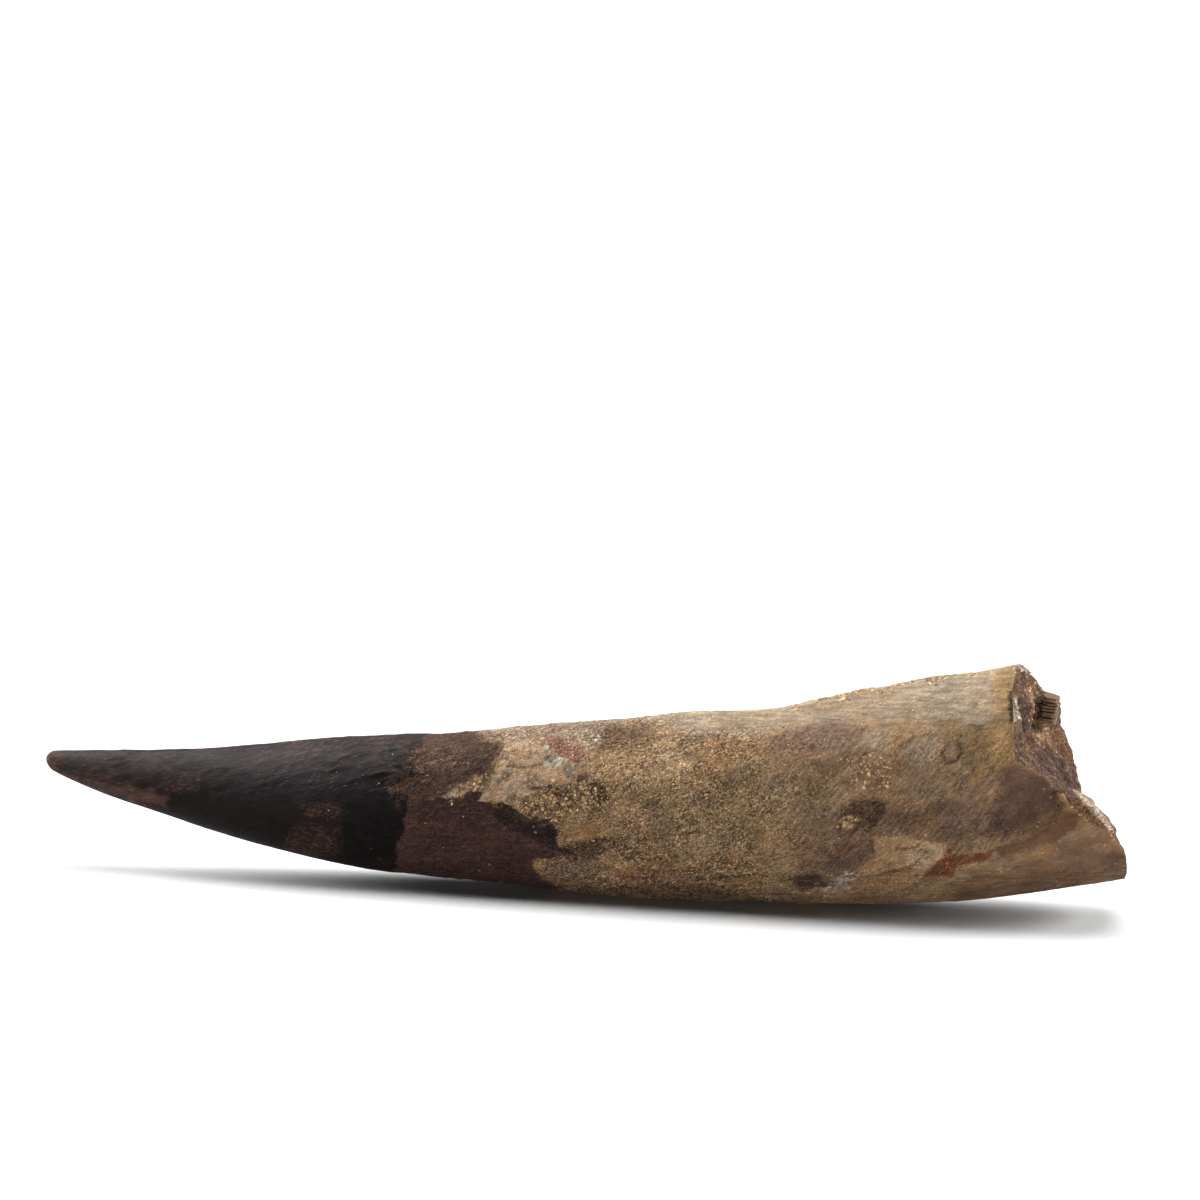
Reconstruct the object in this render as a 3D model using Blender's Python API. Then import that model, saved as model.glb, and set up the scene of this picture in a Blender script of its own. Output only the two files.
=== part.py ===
"""A fossil spinosaur tooth with its root, lying on the flattened belly of its outer curve.

The tooth grew as one piece, so it is one solid: a long cone, gently curved and a little
narrower than it is tall, with a cutting ridge along each side of the crown, a crust of sand
on its crest and a root that is snapped off obliquely. The skin is a loft of unlike oval
sections from the tip to the broken rim, and the broken face is a second grid that runs from
that rim to its middle.

Frame: +X runs from the tip to the root, +Z is up, and the origin is under the middle of the
tooth, on the surface that it lies on. Sizes are in millimetres, and MM turns them to metres.
Angles round a section are 0 at -Y, a quarter turn at +Z and half a turn at +Y.
"""

from itertools import product
from math import pi

import bmesh
import bpy
import numpy as np

MM = 0.001

# Driving dimensions
LENGTH = 150.0  # from the tip to the end of the lobe at the foot of the root
TIP_ROUND = 1.25  # radius of the worn tip
REST_Z = 0.0  # the belly is worn flat where it meets the surface

# Side view: distance from the tip, height of the underside, height of the upper side.
# Between 75 and 125 the underside would pass below REST_Z, which makes the flat belly.
SIDE_VIEW = (
    (0.0, 13.45, 15.8),
    (4.0, 11.85, 15.9),
    (9.0, 10.1, 16.15),
    (16.0, 8.15, 16.4),
    (25.0, 5.7, 17.0),
    (36.0, 3.3, 18.15),
    (48.0, 1.45, 19.6),
    (60.0, 0.85, 20.6),
    (72.0, -0.1, 22.1),
    (84.0, -0.8, 23.3),
    (93.0, -0.7, 24.6),
    (102.0, -0.5, 25.2),
    (113.0, 0.0, 27.3),
    (126.0, 0.8, 29.8),
    (138.0, 2.6, 32.6),
    (151.0, 5.25, 35.0),
)
# Width over height of the section, against the distance from the tip
WIDTH_SHARE = ((0.0, 0.86), (20.0, 0.84), (60.0, 0.86), (90.0, 0.83), (120.0, 0.8), (151.0, 0.78))

# Where the root is snapped: distance from the tip, against the height in the section,
# from -1 at its underside to 1 at its crest, for the side at -Y and the side at +Y.
FRONT_RIM = (
    (-1.0, 149.6),
    (-0.9, 150.0),
    (-0.7, 149.8),
    (-0.6, 149.2),
    (-0.45, 147.6),
    (-0.3, 145.6),
    (-0.2, 144.6),
    (-0.1, 143.1),
    (0.0, 141.6),
    (0.1, 140.2),
    (0.2, 138.2),
    (0.28, 136.0),
    (0.6, 135.7),
    (0.9, 135.3),
    (1.0, 135.5),
)
BACK_RIM = (
    (-1.0, 149.6),
    (-0.9, 149.6),
    (-0.7, 148.1),
    (-0.5, 145.9),
    (-0.4, 144.0),
    (-0.3, 143.1),
    (0.0, 142.0),
    (0.3, 140.9),
    (0.6, 140.3),
    (0.66, 138.4),
    (0.8, 137.4),
    (0.9, 136.5),
    (1.0, 135.5),
)
RIM_BLEND = 34.0  # the sections lean over this length to end on the slanting rim

# The skin: how far it stands out from the plain oval
SWELLINGS = (  # size, height at the tip, height at the root, seed
    (17.0, 0.05, 0.2, 1),
    (7.0, 0.03, 0.13, 2),
)
RIDGES = (  # angle, height and reach from the tip of the crown's two cutting ridges
    (-0.22, 0.3, 24.0),
    (2.9, 0.26, 60.0),
)
RIDGE_WIDTH = 0.16  # radians
CRUST_SPAN = (105.0, 110.0, 127.0, 132.0)  # sand clings to the crest from here to here
CRUST_ANGLE, CRUST_HALF = 1.68, (0.25, 0.6)  # its middle, and where it thins and ends
CRUST_DEPTH, CRUST_LUMP, CRUST_SIZE = 0.3, 0.28, 4.5
DENTS = (  # distance from the tip, angle, half length, half angle, depth
    (117.0, -0.1, 3.4, 0.17, 0.55),
    (87.5, 0.25, 4.2, 0.14, 0.3),
    (121.0, 3.3, 6.0, 0.3, 0.5),
    (70.0, 3.9, 7.0, 0.24, 0.35),
)

SCAR_SPAN = (133.5, 142.0)  # a flake has come off the skin beside the break, deeper with s
SCAR_FOOT = ((133.5, -0.3), (139.0, -0.36), (141.2, -0.28), (142.6, -0.11), (150.0, -0.05))
SCAR_TOP = (0.22, 0.36)  # angles over which the hollow runs out above
SCAR_STEP = 0.09  # radians, from the flake's edge down into the hollow
SCAR_DEPTH = 1.9

# The broken face, whose places are front (1 at -Y, -1 at +Y) and height (1 at the crest)
FACE_HALF = (11.0, 15.0)  # half its width and half its height
SCOOP = 0.9  # how far its middle is hollowed
LEDGE_RISE = 1.6  # the layered wall of the far side stands out this far from the rest
LEDGE_SPAN = (0.28, 0.36, 0.6, 0.68)  # heights between which it does
LEDGE_ACROSS = (0.74, 0.86)  # its riser, as a share of the way from the near rim
LIP_RISE = 1.8  # the lobe's wall is bevelled out from its rim by this
LIP_SPAN = (-0.56, -0.36, -0.2, -0.02)
LIP_ACROSS = (0.0, 0.1, 0.2, 0.45)
ROUGHNESS = ((3.4, 0.5, 5), (1.7, 0.4, 6))  # size, height, seed
PITS = (  # front, height, radius, depth
    (0.22, 0.62, 1.2, 1.1),
    (0.12, 0.46, 1.4, 1.3),
    (0.29, 0.2, 1.2, 0.8),
    (-0.33, 0.4, 1.3, 0.9),
    (-0.3, -0.2, 1.8, 0.9),
)

# Mesh
AROUND = 72  # points round a section
TIP_RINGS = 4  # rings on the worn tip
SKIN_RINGS = 44  # rings from the tip's rounding to the rim
FACE_RINGS = 17  # rings from the rim to the middle of the broken face


def smooth_through(stations, x):
    """A cubic curve through the stations, whose slope at each is that of its neighbours."""
    at, value = np.array(stations).T
    slope = np.gradient(value, at)
    i = np.clip(np.searchsorted(at, x) - 1, 0, len(at) - 2)
    span = at[i + 1] - at[i]
    t = np.clip((x - at[i]) / span, 0.0, 1.0)
    rise = t * t * (3 - 2 * t)
    return (
        value[i] * (1 - rise)
        + value[i + 1] * rise
        + span * t * (1 - t) * (slope[i] * (1 - t) - slope[i + 1] * t)
    )


def straight_through(stations, x):
    """Straight lines through the stations, for an edge that is broken and not grown."""
    at, value = np.array(stations).T
    return np.interp(x, at, value)


def ease(x, low, high):
    """0 below low, 1 above high, and a smooth rise between."""
    t = np.clip((x - low) / (high - low), 0.0, 1.0)
    return t * t * (3 - 2 * t)


def window(x, span):
    """1 between the inner two values of the span, 0 outside the outer two."""
    return ease(x, span[0], span[1]) * (1 - ease(x, span[2], span[3]))


def turn_from(angle, middle):
    """The turn from middle to angle, the short way round."""
    return (angle - middle + pi) % (2 * pi) - pi


def lattice(cell, seed):
    """A repeatable number from 0 to 1 for each whole-number point of space."""
    x, y, z = np.moveaxis(cell, -1, 0)
    mixed = (x * 374761393 + y * 668265263 + z * 1103515245 + seed * 1274126177) & 0xFFFFFFFF
    mixed = ((mixed ^ (mixed >> 13)) * 1274126177) & 0xFFFFFFFF
    return ((mixed ^ (mixed >> 16)) & 0xFFFFFF) / 0xFFFFFF


def lumps(points, size, seed):
    """Smooth noise from -1 to 1, whose lumps are about size across."""
    scaled = points / size
    cell = np.floor(scaled).astype(np.int64)
    inside = scaled - cell
    inside = inside * inside * (3 - 2 * inside)
    total = 0.0
    for corner in product((0, 1), repeat=3):
        share = np.prod(np.where(corner, inside, 1 - inside), axis=-1)
        total = total + share * lattice(cell + np.array(corner), seed)
    return 2 * total - 1


def section(s):
    """Middle height, half height and half width of the section at s from the tip."""
    at, low, high = np.array(SIDE_VIEW).T
    low = smooth_through(np.column_stack([at, low]), s)
    high = smooth_through(np.column_stack([at, high]), s)
    worn = np.sqrt(1 - np.clip(1 - s / TIP_ROUND, 0.0, 1.0) ** 2)
    half = (high - low) / 2 * worn
    return (high + low) / 2, half, half * smooth_through(WIDTH_SHARE, s)


def broken_face(front, height):
    """Distance from the tip to the broken face, at a place in the section.

    The face is ruled between the two rims and hollowed in its middle. The wall of the far
    side stands out of it as a ledge, the wall of the lobe as a bevelled lip, and it has the
    lumps and pits of a break.
    """
    reach = np.sqrt(np.clip(1 - height**2, 1e-6, 1.0))
    across = 0.5 - 0.5 * np.clip(front / reach, -1.0, 1.0)
    near = straight_through(FRONT_RIM, height)
    far = straight_through(BACK_RIM, height)
    inner = np.clip(1 - front**2 - height**2, 0.0, 1.0)
    face = near + (far - near) * across - SCOOP * inner
    face = face + LEDGE_RISE * window(height, LEDGE_SPAN) * (ease(across, *LEDGE_ACROSS) - across)
    face = face + LIP_RISE * window(height, LIP_SPAN) * window(across, LIP_ACROSS)
    spot = np.stack([front * FACE_HALF[0], height * FACE_HALF[1], 0 * height], axis=-1)
    off_rim = ease(inner, 0.0, 0.25)
    for size, depth, seed in ROUGHNESS:
        face = face + depth * lumps(spot, size, seed) * (0.3 + 0.7 * off_rim)
    for pit_front, pit_height, radius, depth in PITS:
        middle = np.array([pit_front * FACE_HALF[0], pit_height * FACE_HALF[1], 0.0])
        away = np.linalg.norm(spot - middle, axis=-1) / radius
        face = face - depth * np.exp(-(away**2)) * off_rim
    return face


def skin_relief(s, angle, place):
    """How far the skin stands out from its oval: swellings, ridges, crust, dents, scar."""
    relief = 0.0 * s
    for size, at_tip, at_root, seed in SWELLINGS:
        height = at_tip + (at_root - at_tip) * ease(s, 6.0, 60.0)
        relief = relief + height * lumps(place, size, seed)
    for middle, height, reach in RIDGES:
        crest = np.exp(-np.abs(turn_from(angle, middle)) / RIDGE_WIDTH)
        relief = relief + height * crest * (1 - ease(s, 0.55 * reach, reach))
    crust = window(s, CRUST_SPAN) * (1 - ease(np.abs(turn_from(angle, CRUST_ANGLE)), *CRUST_HALF))
    relief = relief + crust * (CRUST_DEPTH + CRUST_LUMP * lumps(place, CRUST_SIZE, 3))
    for middle, at_angle, half_length, half_angle, depth in DENTS:
        along = (s - middle) / half_length
        around = turn_from(angle, at_angle) / half_angle
        relief = relief - depth * np.exp(-(along**2) - around**2)
    turn = turn_from(angle, 0.0)
    above = turn - smooth_through(SCAR_FOOT, s)
    scar = ease(above, 0.0, SCAR_STEP) * (1 - ease(turn, *SCAR_TOP))
    relief = relief - SCAR_DEPTH * ease(s, *SCAR_SPAN) * scar
    return relief * np.sqrt(ease(s, 0.0, 5.0))


def skin_point(s, angle):
    """The skin at s from the tip and at an angle, never lower than the surface it lies on."""
    middle, half_height, half_width = section(s)
    oval = np.stack([s - LENGTH / 2, -half_width * np.cos(angle), middle + half_height * np.sin(angle)], -1)
    outward = np.stack([0 * s, -half_height * np.cos(angle), half_width * np.sin(angle)], axis=-1)
    outward = outward / np.linalg.norm(outward, axis=-1, keepdims=True)
    point = oval + skin_relief(s, angle, oval)[..., None] * outward
    point[..., 2] = np.maximum(point[..., 2], REST_Z)
    return point


def ring_distances():
    """Distances from the tip of the rings: even steps of angle on the tip, then even lengths."""
    turn = np.linspace(0.0, pi / 2, TIP_RINGS + 1)[1:]
    tip = TIP_ROUND * (1 - np.cos(turn))
    return np.concatenate([tip, np.linspace(TIP_ROUND, LENGTH, SKIN_RINGS + 1)[1:]])


def tooth_points():
    """The tip, the rings of the skin, the rings of the broken face, and its middle point."""
    angle = np.arange(AROUND) * 2 * pi / AROUND
    rim = broken_face(np.cos(angle), np.sin(angle))
    along = ring_distances()[:, None]
    lean = np.clip(1 - (LENGTH - along) / RIM_BLEND, 0.0, 1.0) ** 2
    s = along + (rim - LENGTH) * lean
    skin = skin_point(s, np.broadcast_to(angle, s.shape))
    edge = skin[-1]
    middle = section(rim.mean())[0]
    inward = (1 - np.arange(1, FACE_RINGS) / FACE_RINGS)[:, None]
    face = np.stack(
        [
            broken_face(inward * np.cos(angle), inward * np.sin(angle)) - LENGTH / 2,
            inward * edge[:, 1],
            middle + inward * (edge[:, 2] - middle),
        ],
        axis=-1,
    )
    tip = [-LENGTH / 2, 0.0, section(0.0)[0]]
    heart = [broken_face(np.zeros(1), np.zeros(1))[0] - LENGTH / 2, 0.0, middle]
    return np.vstack([[tip], skin.reshape(-1, 3), face.reshape(-1, 3), [heart]])


def tooth_faces(rings, last):
    """Quads between rings of AROUND points, and a fan of triangles at each end."""
    here = np.arange(AROUND)
    following = (here + 1) % AROUND
    faces = [(0, 1 + b, 1 + a) for a, b in zip(here, following)]
    for ring in range(rings - 1):
        near, far = 1 + ring * AROUND, 1 + (ring + 1) * AROUND
        faces += [(near + a, near + b, far + b, far + a) for a, b in zip(here, following)]
    final = 1 + (rings - 1) * AROUND
    return faces + [(final + a, final + b, last) for a, b in zip(here, following)]


def fossil_material():
    """Mineralised tooth: dull brown stone, a little smoother than bare rock."""
    made = bpy.data.materials.new("fossil_dentine")
    made.use_nodes = True
    shader = made.node_tree.nodes["Principled BSDF"]
    shader.inputs["Base Color"].default_value = (0.19, 0.125, 0.075, 1.0)
    shader.inputs["Roughness"].default_value = 0.72
    shader.inputs["Metallic"].default_value = 0.0
    return made


def make_tooth(collection):
    """One closed mesh, smooth except where the break turns a corner."""
    points = tooth_points()
    rings = TIP_RINGS + SKIN_RINGS + FACE_RINGS - 1
    mesh = bpy.data.meshes.new("tooth")
    mesh.from_pydata((points * MM).tolist(), [], tooth_faces(rings, len(points) - 1))
    shape = bmesh.new()
    shape.from_mesh(mesh)
    bmesh.ops.recalc_face_normals(shape, faces=shape.faces)
    shape.to_mesh(mesh)
    shape.free()
    mesh.shade_smooth()
    mesh.set_sharp_from_angle(angle=pi / 5)
    mesh.materials.append(fossil_material())
    collection.objects.link(bpy.data.objects.new("tooth", mesh))


def main():
    for old in list(bpy.data.objects):
        bpy.data.objects.remove(old)
    collection = bpy.data.collections.new("fossil_spinosaur_tooth")
    bpy.context.scene.collection.children.link(collection)
    make_tooth(collection)


main()
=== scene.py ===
"""Fossil spinosaur tooth, lying on its worn belly: the stone itself, the sand that clings to it
and the layered wall that stands out of its break, finished in order from tip to root.

Sizes are in millimetres, and MM turns them to metres. Places on the skin are s, the distance
from the tip, and an angle that is 0 at -Y, a quarter turn at the crest and half a turn at +Y.
"""

from itertools import product
from math import cos, pi, radians, sin

import bpy
import numpy as np
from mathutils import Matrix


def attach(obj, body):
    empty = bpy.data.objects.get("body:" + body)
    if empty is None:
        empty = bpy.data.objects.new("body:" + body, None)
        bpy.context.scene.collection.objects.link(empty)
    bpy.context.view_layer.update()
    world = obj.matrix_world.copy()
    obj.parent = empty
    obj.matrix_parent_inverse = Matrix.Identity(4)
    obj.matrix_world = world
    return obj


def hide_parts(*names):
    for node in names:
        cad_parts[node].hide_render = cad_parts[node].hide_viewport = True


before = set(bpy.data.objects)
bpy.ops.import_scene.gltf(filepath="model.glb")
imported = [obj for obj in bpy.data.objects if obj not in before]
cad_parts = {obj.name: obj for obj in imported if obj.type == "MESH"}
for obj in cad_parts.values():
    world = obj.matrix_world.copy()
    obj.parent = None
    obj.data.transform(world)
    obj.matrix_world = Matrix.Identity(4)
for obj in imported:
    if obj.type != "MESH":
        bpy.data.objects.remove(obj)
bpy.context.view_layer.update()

MM = 0.001

# ---------------------------------------------------------------------------------------------
# The table and the light. A plain white sheet on the table, with a white curtain hung round it
# far off. A soft box on each side, low and a little behind, throws the tooth's shadow forwards
# and washes it out towards both ends, one hangs overhead, and a long low one lights the front.

LENS, SENSOR, FRAME = 75.0, 36.0, 1200  # FRAME is the view's width, in the steps used below
EYE = np.array([82.7, -321.6, 72.7])
EYE_ROUND, EYE_DOWN = radians(13.5), radians(5.8)


def put(name, data):
    """A new object of that name and data, in the scene."""
    made = bpy.data.objects.new(name, data)
    bpy.context.scene.collection.objects.link(made)
    return made


camera = put("camera", bpy.data.cameras.new("camera"))
camera.data.lens, camera.data.sensor_width = LENS, SENSOR
camera.data.clip_start = 10 * MM
camera.location = EYE * MM
camera.rotation_euler = (pi / 2 - EYE_DOWN, 0.0, EYE_ROUND)
bpy.context.scene.camera = camera
bpy.context.scene.view_settings.view_transform = "Standard"


def plain_material(name, colour, roughness, sheen=0.5, glow=0.0):
    made = bpy.data.materials.new(name)
    made.use_nodes = True
    shader = made.node_tree.nodes["Principled BSDF"]
    shader.inputs["Base Color"].default_value = (*colour, 1.0)
    shader.inputs["Roughness"].default_value = roughness
    shader.inputs["Specular IOR Level"].default_value = sheen
    shader.inputs["Emission Strength"].default_value = glow
    return made


def stand_round(name, corners, faces, material):
    """A part of the room, which is no part of the object."""
    sheet = put(name, bpy.data.meshes.new(name))
    sheet.data.from_pydata(corners, [], faces)
    sheet.data.materials.append(material)
    return sheet


SHEET = 9.0  # half the width of the table's sheet and the curtain's radius, in metres
SHEET_GREY = 0.30
CURTAIN_TALL, CURTAIN_SIDES, CURTAIN_HEM = 1.5, 48, -0.01

table_corners = [(-SHEET, -SHEET, 0), (SHEET, -SHEET, 0), (SHEET, SHEET, 0), (-SHEET, SHEET, 0)]
stand_round("table", table_corners, [(0, 1, 2, 3)], plain_material("table_sheet", (SHEET_GREY,) * 3, 0.9))

lit = plain_material("lit_sheet", (0.0, 0.0, 0.0), 1.0, glow=1.0)
turns = [2 * pi * side / CURTAIN_SIDES for side in range(CURTAIN_SIDES)]
hem = [(SHEET * cos(turn), SHEET * sin(turn), CURTAIN_HEM) for turn in turns]
rail = [(x, y, CURTAIN_TALL) for x, y, z in hem]
folds = [(i, i - 1, i - 1 + CURTAIN_SIDES, i + CURTAIN_SIDES) for i in range(1, CURTAIN_SIDES)]
folds = folds + [(0, CURTAIN_SIDES - 1, 2 * CURTAIN_SIDES - 1, CURTAIN_SIDES)]
stand_round("curtain", hem + rail, folds, lit).visible_shadow = False

SOFT_BOXES = (  # name, strength, width, and its lean from straight above to the right and back
    ("top_box", 5.2, 36, 12, 14),
    ("left_box", 13.8, 34, -65, 15),
    ("right_box", 12.0, 38, 65, 13),
)
for name, strength, width, right_lean, back_lean in SOFT_BOXES:
    box = put(name, bpy.data.lights.new(name, "SUN"))
    box.data.energy, box.data.angle = strength, radians(width)
    box.rotation_euler = (-radians(back_lean), radians(right_lean), 0.0)

LOW_POWER, LOW_WIDE, LOW_TALL = 28.0, 1.8, 0.03
LOW_PLACE = (0.1, -1.3, 0.017)
low = put("low_box", bpy.data.lights.new("low_box", "AREA"))
low.data.energy, low.data.shape = LOW_POWER, "RECTANGLE"
low.data.size, low.data.size_y = LOW_WIDE, LOW_TALL
low.location = LOW_PLACE
low.rotation_euler = (pi / 2, 0.0, 0.0)

ROOM_GLOW = 0.004
world = bpy.data.worlds.new("dim_room")
bpy.context.scene.world = world
world.use_nodes = True
world.node_tree.nodes["Background"].inputs["Color"].default_value = (1.0, 1.0, 1.0, 1.0)
world.node_tree.nodes["Background"].inputs["Strength"].default_value = ROOM_GLOW

# ---------------------------------------------------------------------------------------------
# The tooth. One piece of mineralised tooth and bone: a cone of oval sections, gently curved,
# worn round at the tip and flat on the belly, and snapped off obliquely at the root.

LENGTH = 150.0
TIP_ROUND = 1.25  # radius of the worn tip
REST_Z = 0.0  # the belly is worn flat here
SIDE_VIEW = (  # distance from the tip, height of the underside, height of the upper side
    (0.0, 13.45, 15.8), (4.0, 11.85, 15.9), (9.0, 10.1, 16.15), (16.0, 8.15, 16.4),
    (25.0, 5.7, 17.0), (36.0, 3.3, 18.15), (48.0, 1.45, 19.6), (60.0, 0.85, 20.6),
    (72.0, -0.1, 22.1), (84.0, -0.8, 23.3), (93.0, -0.7, 24.6), (102.0, -0.5, 25.2),
    (113.0, 0.0, 27.3), (126.0, 0.8, 29.8), (138.0, 2.6, 32.6), (151.0, 5.25, 35.0),
)
WIDTH_SHARE = ((0.0, 0.86), (20.0, 0.84), (60.0, 0.86), (90.0, 0.83), (120.0, 0.8), (151.0, 0.78))
FRONT_RIM = (  # height in the section, from -1 to 1, and distance from the tip, on the -Y side
    (-1.0, 149.6), (-0.9, 150.0), (-0.7, 149.8), (-0.6, 149.2), (-0.45, 147.6), (-0.3, 145.6),
    (-0.2, 144.6), (-0.1, 143.1), (0.0, 141.6), (0.1, 140.2), (0.2, 138.2), (0.28, 136.0),
    (0.6, 135.7), (0.9, 135.3), (1.0, 135.5),
)
BACK_RIM = (
    (-1.0, 149.6), (-0.9, 149.6), (-0.7, 148.1), (-0.5, 145.9), (-0.4, 144.0), (-0.3, 143.1),
    (0.0, 142.0), (0.3, 140.9), (0.6, 140.3), (0.66, 138.4), (0.8, 137.4), (0.9, 136.5),
    (1.0, 135.5),
)
RIM_BLEND = 34.0
SWELLINGS = ((17.0, 0.05, 0.2, 1), (7.0, 0.03, 0.13, 2))  # size, height at tip and root, seed
RIDGES = ((-0.22, 0.3, 24.0), (2.9, 0.26, 60.0))  # angle, height, reach from the tip
RIDGE_WIDTH, RIDGE_FADE = 0.16, 0.55  # the share of its reach past which a ridge fades
SWELL_GROWTH, SMOOTH_TIP = (6.0, 60.0), 5.0
CRUST_SPAN = (105.0, 110.0, 127.0, 132.0)
CRUST_ANGLE, CRUST_HALF = 1.68, (0.25, 0.6)
CRUST_DEPTH, CRUST_LUMP, CRUST_SIZE = 0.3, 0.28, 4.5
DENTS = (  # distance from the tip, angle, half length, half angle, depth
    (117.0, -0.1, 3.4, 0.17, 0.55), (87.5, 0.25, 4.2, 0.14, 0.3), (121.0, 3.3, 6.0, 0.3, 0.5),
    (70.0, 3.9, 7.0, 0.24, 0.35),
)
SCAR_SPAN, SCAR_DEPTH = (133.5, 142.0), 1.9
SCAR_FOOT = ((133.5, -0.3), (139.0, -0.36), (141.2, -0.28), (142.6, -0.11), (150.0, -0.05))
SCAR_TOP, SCAR_STEP = (0.22, 0.36), 0.05
FACE_HALF = (11.0, 15.0)  # half the face's width and height
SCOOP = 0.9  # how deep the hollow is
LEDGE_RISE, LEDGE_SPAN, LEDGE_ACROSS = 1.6, (0.28, 0.36, 0.6, 0.68), (0.74, 0.86)
LIP_RISE, LIP_SPAN, LIP_ACROSS = 1.8, (-0.56, -0.36, -0.2, -0.02), (0.0, 0.1, 0.2, 0.45)
ROUGHNESS = ((3.4, 0.5, 5), (1.7, 0.4, 6))  # size, height, seed
RIM_ROUGHNESS, RIM_INNER = 0.3, 0.25  # how much of it is left at the rim, and how wide the rim is
PITS = (  # front, height, radius, depth
    (0.22, 0.62, 1.2, 1.1), (0.12, 0.46, 1.4, 1.3), (0.29, 0.2, 1.2, 0.8), (-0.33, 0.4, 1.3, 0.9),
    (-0.3, -0.2, 1.8, 0.9),
)
AROUND, TIP_RINGS, SKIN_RINGS, FACE_RINGS = 240, 10, 330, 56


def smooth_through(stations, x):
    """Between two stations, the cubic with the stations' values and with slopes that are the
    mean slope to the neighbours on both sides."""
    at, value = np.array(stations).T
    slope = np.gradient(value, at)
    i = np.clip(np.searchsorted(at, x) - 1, 0, len(at) - 2)
    span = at[i + 1] - at[i]
    t = np.clip((x - at[i]) / span, 0.0, 1.0)
    rise = t * t * (3 - 2 * t)
    bend = span * t * (1 - t) * (slope[i] * (1 - t) - slope[i + 1] * t)
    return value[i] * (1 - rise) + value[i + 1] * rise + bend


def straight_through(stations, x):
    """Straight lines from station to station."""
    at, value = np.array(stations).T
    return np.interp(x, at, value)


def ease(x, low, high):
    """0 at low, 1 at high and past it, and three squares less two cubes of the share between."""
    t = np.clip((x - low) / (high - low), 0.0, 1.0)
    return t * t * (3 - 2 * t)


def window(x, span):
    """1 between the inner two values of the span, 0 outside the outer two."""
    return ease(x, span[0], span[1]) * (1 - ease(x, span[2], span[3]))


def turn_from(angle, middle):
    """The turn from middle to angle, the short way round."""
    return (angle - middle + pi) % (2 * pi) - pi


def lattice(cell, seed):
    """A repeatable number from 0 to 1 for each whole-number point of space."""
    x, y, z = np.moveaxis(cell, -1, 0)
    mixed = (x * 374761393 + y * 668265263 + z * 1103515245 + seed * 1274126177) & 0xFFFFFFFF
    mixed = ((mixed ^ (mixed >> 13)) * 1274126177) & 0xFFFFFFFF
    return ((mixed ^ (mixed >> 16)) & 0xFFFFFF) / 0xFFFFFF


def lumps(points, size, seed):
    """Noise from -1 to 1: a number for each corner of a grid of cubes of that size, blended
    between the eight corners round a point."""
    scaled = points / size
    cell = np.floor(scaled).astype(np.int64)
    inside = scaled - cell
    inside = inside * inside * (3 - 2 * inside)
    total = 0.0
    for corner in product((0, 1), repeat=3):
        share = np.prod(np.where(corner, inside, 1 - inside), axis=-1)
        total = total + share * lattice(cell + np.array(corner), seed)
    return 2 * total - 1


def many_lumps(points, rows, first=0):
    """Noise of several sizes, added up. A row is its size, its height and its seed past first."""
    return sum(high * lumps(points, size, first + seed) for size, high, seed in rows)


def section(s):
    """Middle height, half height and half width of the oval at s. At the tip both halves are
    a quarter circle's, the root of one less the square of the share left to TIP_ROUND."""
    at, low, high = np.array(SIDE_VIEW).T
    low = smooth_through(np.column_stack([at, low]), s)
    high = smooth_through(np.column_stack([at, high]), s)
    worn = np.sqrt(1 - np.clip(1 - s / TIP_ROUND, 0.0, 1.0) ** 2)
    half = (high - low) / 2 * worn
    return (high + low) / 2, half, half * smooth_through(WIDTH_SHARE, s)


def broken_face(front, height):
    """Distance from the tip to the break, where front is 1 at -Y and height is 1 at the crest:
    straight lines from the near rim to the far one, less the hollow, which falls off with the
    square of the distance from the middle, plus ledge, lip and lumps, less the pits."""
    reach = np.sqrt(np.clip(1 - height**2, 1e-6, 1.0))
    across = 0.5 - 0.5 * np.clip(front / reach, -1.0, 1.0)
    near = straight_through(FRONT_RIM, height)
    far = straight_through(BACK_RIM, height)
    inner = np.clip(1 - front**2 - height**2, 0.0, 1.0)
    face = near + (far - near) * across - SCOOP * inner
    face = face + LEDGE_RISE * window(height, LEDGE_SPAN) * (ease(across, *LEDGE_ACROSS) - across)
    face = face + LIP_RISE * window(height, LIP_SPAN) * window(across, LIP_ACROSS)
    spot = np.stack([front * FACE_HALF[0], height * FACE_HALF[1], 0 * height], axis=-1)
    off_rim = ease(inner, 0.0, RIM_INNER)
    for size, depth, seed in ROUGHNESS:
        face = face + depth * lumps(spot, size, seed) * (RIM_ROUGHNESS + (1 - RIM_ROUGHNESS) * off_rim)
    for pit_front, pit_height, radius, depth in PITS:
        middle = np.array([pit_front * FACE_HALF[0], pit_height * FACE_HALF[1], 0.0])
        away = np.linalg.norm(spot - middle, axis=-1) / radius
        face = face - depth * np.exp(-(away**2)) * off_rim
    return face


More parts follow.
